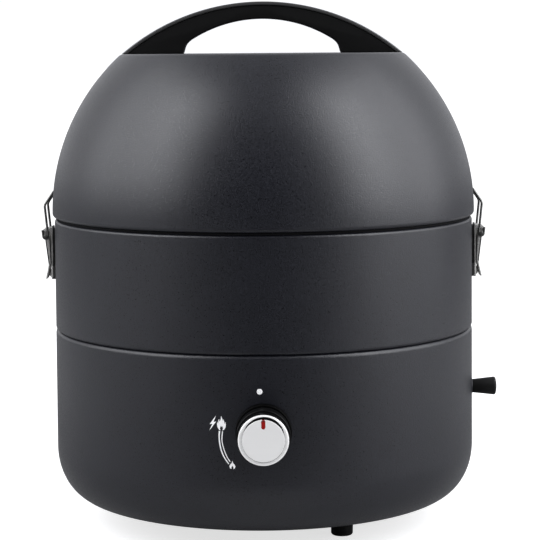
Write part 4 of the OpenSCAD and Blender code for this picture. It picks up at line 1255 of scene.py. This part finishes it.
@dataclass
class Latches:
    """The over-centre latches, drawn for the right side and mirrored to the left.

    In their outlines the first number is the distance from the body's axis and the second the
    height.
    """

    wall: float = WALL_R
    pivot: Flat = (183.4, 243.0)
    hook_pin: Flat = (182.6, 239.0)
    plate: Flat = (177.2, 178.6)
    plate_z: Flat = (202.0, 247.0)
    plate_half_w: float = 8.0
    sheet: float = 1.4
    cheek_y: float = 8.4
    web_half_w: float = 9.8
    low: Flat = (180.2, 215.0)
    tip: Flat = (183.0, 202.8)
    bend: Flat = (183.2, 265.3)
    bar: Flat = (175.7, 276.3)
    bail_half_w: float = 11.5
    wire_r: float = 1.0
    wrap_r: float = 2.05
    rivet_z: float = 206.8

    def build(self) -> None:
        """Makes both latches and dresses them."""
        makers = {
            "plate": (self.back_plate, "base", Finishes.LATCH_STEEL),
            # the dark foot and strip behind each plate carry painted shade
            "pad": (self.pad, "base", Finishes.PAD),
            "rivet": (self.rivet, "base", Finishes.LATCH_STEEL),
            "pivot_pin": (self.pivot_pin, "base", Finishes.LATCH_STEEL),
            "lever": (self.lever, "latch_lever_{}", Finishes.LATCH_STEEL),
            "bail_pin": (self.bail_pin, "latch_lever_{}", Finishes.BAIL_STEEL),
            "bail": (self.bail, "latch_bail_{}", Finishes.BAIL_STEEL),
        }
        for part, (make, body, finish) in makers.items():
            right = make()
            right.name = right.data.name = f"right_{part}"
            left = mirrored(right, f"left_{part}")
            for side, piece in (("right", right), ("left", left)):
                stands_for = () if part == "pad" else (f"latch_{side}_{part}", "latch_steel")
                hand_over(piece, finish, body.format(side), *stands_for)

    def back_plate(self) -> Piece:
        """The plate on the wall and the two ears of the pivot.

        Returns:
            The plate with its ears.
        """
        (inner, outer), half = self.plate, self.plate_half_w
        outline = oblong(half, *self.plate_z, 2.6, 5)
        plate = slab("plate", [(inner, y, z) for y, z in outline], (self.sheet, 0, 0), 0.3, 2)
        ears = [plank("ear", (
            arc(self.pivot, 2.1, -90, 90, 10)
            + [(outer - 0.6, self.pivot[1] + 2.8), (outer - 0.6, self.pivot[1] - 2.8)]),
            y, y + self.sheet) for y in (-half, half - self.sheet)]
        return joined("plate", [plate, *ears])

    def pad(self) -> Piece:
        """The foot and strip between the plate and the wall, coloured dark as painted shade for the
        shadow behind the plate.

        Returns:
            The foot and the strip, as one piece.
        """
        half, (low, high) = self.plate_half_w - 0.6, self.plate_z
        inner, outer = self.wall + 0.05, self.plate[0] - 0.02
        foot = plank("foot", [
            (inner, low + 0.4), (outer, low + 0.4), (outer, low + 12), (inner, low + 11.4)],
            -half, half)
        low, high = low + 12.2, high - 1.6
        strip = plank("strip", [
            (inner + 0.05, low), (outer, low), (outer, high), (inner + 0.05, high)], -5.6, 5.6)
        return joined("pad", [foot, strip])

    def rivet(self) -> Piece:
        """The domed rivet that holds the plate.

        Returns:
            The rivet.
        """
        face, dome_r, sunk = self.plate[1] + 0.05, 4.6, 1.8
        lathe = Lathe((0, 0, self.rivet_z), (1, 0, 0), (0, 0, 1))
        edge = math.degrees(math.asin(sunk / dome_r))
        return turned("rivet", lathe, (
            [(0, self.wall - 3), (2, self.wall - 3), (2, face), (4.1, face)]
            + arc((0, face - sunk), dome_r, edge + 3, 90, 12)), 48)

    def pivot_pin(self) -> Piece:
        """The pin that the lever turns on."""
        return self.pin(self.pivot, 1.2, self.web_half_w + 0.3)

    def bail_pin(self) -> Piece:
        """The pin that the bail hooks on, with a head at each end.

        Returns:
            The pin with its heads.
        """
        half = self.bail_half_w + self.wire_r + 0.5
        pin = self.pin(self.hook_pin, 1.0, half)
        heads = [self.pin(self.hook_pin, 1.3, 0.3, side * (half + 0.3)) for side in (-1, 1)]
        return joined("bail_pin", [pin, *heads])

    def pin(self, at: Flat, radius: float, half: float, middle: float = 0.0) -> Piece:
        """A round pin across the latch, with its ends broken.

        Args:
            at: Its axis, as a place across and a height.
            radius: Its radius.
            half: Half its length.
            middle: Where its middle is along the axis.

        Returns:
            The pin.
        """
        lathe = Lathe((at[0], middle, at[1]), (0, 1, 0), (1, 0, 0))
        return turned("pin", lathe, [
            (0, -half), (radius - 0.2, -half), (radius, 0.2 - half), (radius, half - 0.2),
            (radius - 0.2, half), (0, half)], 32)

    def lever(self) -> Piece:
        """The lever: two cheeks, the web between them and the tail that a finger lifts.

        Returns:
            The lever.
        """
        (px, pz), (lx, lz), (tx, tz) = self.pivot, self.low, self.tip
        cheek = arc(self.pivot, 2.2, 0, 180, 12) + [
            (px - 3.6, pz - 6.5), (lx - 1.2, lz), (lx + 0.6, lz), (px + 0.2, pz - 5.5)]
        cheeks = [plank("cheek", cheek, y, y + self.sheet, 0.3)
                  for y in (self.cheek_y, -self.cheek_y - self.sheet)]
        web = plank("web", [
            (px + 0.2, pz - 5.5), (lx + 0.6, lz), (lx - 0.8, lz), (px - 1.2, pz - 5.5)],
            -self.web_half_w, self.web_half_w, 0.3)
        tail = plank("tail", [
            (lx - 0.8, lz + 0.5), (lx + 0.6, lz + 0.5), (lx + 1.5, lz - 4.5), (tx + 0.1, tz + 1.6),
            (tx + 0.6, tz), (tx - 0.7, tz - 0.2), (tx - 1.1, tz + 1.4), (lx + 0.3, lz - 4.3)],
            -self.plate_half_w, self.plate_half_w, 0.3)
        return joined("lever", [*cheeks, web, tail])

    def bail(self) -> Piece:
        """The bail: one bent wire from hook to hook."""
        right, left = self.bail_side(1), self.bail_side(-1)
        return drawn_wire("bail", right + left[::-1], self.wire_r)

    def bail_side(self, side: int) -> list[Vector]:
        """Half of the bail's path.

        Args:
            side: 1 for the half at +Y, -1 for the other.

        Returns:
            Points from the hook's tip to the bar.
        """
        y = side * self.bail_half_w
        px, pz = self.hook_pin
        tip = Vector((px + self.wrap_r + 0.6, y, pz + 5.2))
        hook = [Vector((x, y, z)) for x, z in arc(self.hook_pin, self.wrap_r, 0, -180, 12)]
        bend = Vector((self.bend[0], y, self.bend[1]))
        end = Vector((self.bar[0], y, self.bar[1]))
        middle = Vector((self.bar[0], 0, self.bar[1]))
        return [tip, *hook, *rounded(hook[-1], bend, end, 6), *rounded(bend, end, middle, 2.4)]


# Studio


@dataclass
class Studio:
    """The floor, the lamps, the surroundings and the camera."""

    distance: float = 1610.0
    eye_z: float = 394.5
    eye_x: float = 9.7
    pitch: float = 3.525
    roll: float = -0.42
    focal_pixels: float = 1914.0
    picture: int = 540
    sensor: float = 36.0
    shift: Flat = (-0.0084, -0.1912)
    ambient: float = 0.4
    background: float = 1.05
    tint: Colour = (0.99, 1.0, 1.04)
    lamps: tuple[tuple[float, float, float, float, float], ...] = (
        # azimuth from the front, elevation, width, height, radiance
        (56.0, 33.0, 560.0, 1500.0, 4.3),
        (83.0, 28.0, 1120.0, 1500.0, 2.65),
        (-56.0, 35.0, 560.0, 1280.0, 4.4),
        (-86.0, 32.0, 900.0, 1250.0, 2.5),
    )
    lamp_distance: float = 1300.0
    lamp_aim_z: float = 230.0
    # ramps, each from a range of places in metres or of directions to a range of strengths
    room_back: Pair = ((-0.9, 0.6), (0.055, 0.85))
    room_above: Pair = ((0.35, 1.0), (0.0, 0.33))
    # painted reflection: the floor's tone as seen only in reflections, set by place
    reflection_paint_aside: Pair = ((0.1, 0.8), (0.08, 0.54))
    reflection_paint_close: Pair = ((0.25, 0.7), (0.38, 0.0))
    floor_glow: Pair = ((0.25, 1.3), (0.7, 1.0))
    floor_tone: float = 0.62

    def build(self) -> None:
        """Sets up all of it."""
        bpy.context.scene.view_settings.view_transform = "Standard"
        self.camera()
        self.surroundings()
        self.floor()
        for lamp in self.lamps:
            self.lamp(*lamp)

    def camera(self) -> None:
        """The camera at the photograph's angle."""
        data = bpy.data.cameras.new("camera")
        camera = bpy.data.objects.new("camera", data)
        bpy.context.scene.collection.objects.link(camera)
        data.sensor_width = self.sensor
        data.lens = self.focal_pixels / self.picture * self.sensor
        data.shift_x, data.shift_y = self.shift
        data.clip_start, data.clip_end = 0.05, 50.0
        camera.location = Vector((self.eye_x, -self.distance, self.eye_z)) * MM
        look = Matrix.Rotation(math.radians(90 - self.pitch), 4, "X")
        tilt = Matrix.Rotation(math.radians(self.roll), 4, "Z")
        camera.rotation_euler = (look @ tilt).to_euler()
        bpy.context.scene.camera = camera

    def lamp(self, azimuth: float, elevation: float, width: float, height: float,
             radiance: float) -> None:
        """One soft box, aimed at the middle of the grill.

        Args:
            azimuth: Degrees to the right of the front.
            elevation: Degrees above the horizon.
            width: Its width.
            height: Its height.
            radiance: How bright its face is.
        """
        data = bpy.data.lights.new("soft box", "AREA")
        data.shape = "RECTANGLE"
        data.size, data.size_y = width * MM, height * MM
        data.energy = radiance * math.pi * data.size * data.size_y
        data.color = self.tint
        lamp = bpy.data.objects.new("soft box", data)
        bpy.context.scene.collection.objects.link(lamp)
        a, e = math.radians(azimuth), math.radians(elevation)
        away = Vector((math.sin(a) * math.cos(e), -math.cos(a) * math.cos(e), math.sin(e)))
        lamp.location = (away * self.lamp_distance + Vector((0, 0, self.lamp_aim_z))) * MM
        lamp.rotation_euler = away.to_track_quat("Z", "Y").to_euler()

    def surroundings(self) -> None:
        """A white background for the eye, a dim room for the rest."""
        world = bpy.data.worlds.new("studio")
        bpy.context.scene.world = world
        world.use_nodes = True
        wiring = Wiring(world.node_tree)
        place = wiring.add("TexCoord", {}, "Generated")
        split = wiring.add("SeparateXYZ", {0: place}).node.outputs
        back = wiring.ramp(split["Y"], *self.room_back, "SMOOTHSTEP")
        above = wiring.ramp(split["Z"], *self.room_above, "SMOOTHSTEP")
        room = wiring.combine("MAXIMUM", back, above)
        rays = wiring.add("LightPath", {}).node.outputs
        seen = wiring.mix(rays["Is Glossy Ray"], self.ambient, room)
        seen = wiring.mix(rays["Is Transmission Ray"], seen, 1.0)
        seen = wiring.mix(rays["Is Camera Ray"], seen, self.background)
        shader = world.node_tree.nodes["Background"]
        wiring.feed(shader, {"Color": (*self.tint, 1), "Strength": seen})

    def floor(self) -> None:
        """A pale floor that keeps the grill's shadow. In reflections it shows a painted reflection
        instead of its own tone: darker, and darkest in front of and behind the grill.
        """
        clear_selection()
        bpy.ops.mesh.primitive_circle_add(vertices=96, radius=40.0, fill_type="NGON")
        floor = bpy.context.object
        floor.name = floor.data.name = "floor"
        material = bpy.data.materials.new("pale floor")
        material.use_nodes = True
        wiring = Wiring(material.node_tree)
        place = wiring.add("TexCoord", {}, "Object")
        aside = wiring.combine("ABSOLUTE", wiring.add("SeparateXYZ", {0: place}, "X"))
        away = wiring.add("VectorMath", {0: place}, "Value", operation="LENGTH")
        painted_aside = wiring.ramp(aside, *self.reflection_paint_aside, "SMOOTHSTEP")
        painted_close = wiring.ramp(away, *self.reflection_paint_close, "SMOOTHSTEP")
        glow = wiring.ramp(away, *self.floor_glow, "SMOOTHSTEP")
        painted_reflection = wiring.combine("MAXIMUM", painted_aside, painted_close)
        rays = wiring.add("LightPath", {}).node.outputs
        wiring.feed(material.node_tree.nodes["Principled BSDF"], {
            # painted reflection: glossy rays see a tone set by place, not the floor's own
            "Base Color": wiring.mix(rays["Is Glossy Ray"], self.floor_tone, painted_reflection),
            "Roughness": 0.9,
            "Specular IOR Level": 0.1,
            "Emission Color": (1, 1, 1, 1),
            "Emission Strength": wiring.mix(rays["Is Camera Ray"], 0.0, glow)})
        floor.data.materials.append(material)


def corners(box: tuple[Vector, Vector]) -> list[list[float]]:
    """A box's two corners as plain lists of numbers."""
    return [[round(value, 6) for value in corner] for corner in box]


def main() -> None:
    """Builds the studio and the grill."""
    logging.basicConfig(level=logging.INFO, format="%(message)s")
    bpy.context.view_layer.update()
    Studio().build()
    dress_nodes()
    for assembly in (Shells(), Handle(), Knob(), WallMarks(), Inlet(), Feet(), Latches()):
        assembly.build()


if __name__ == "__main__":
    main()
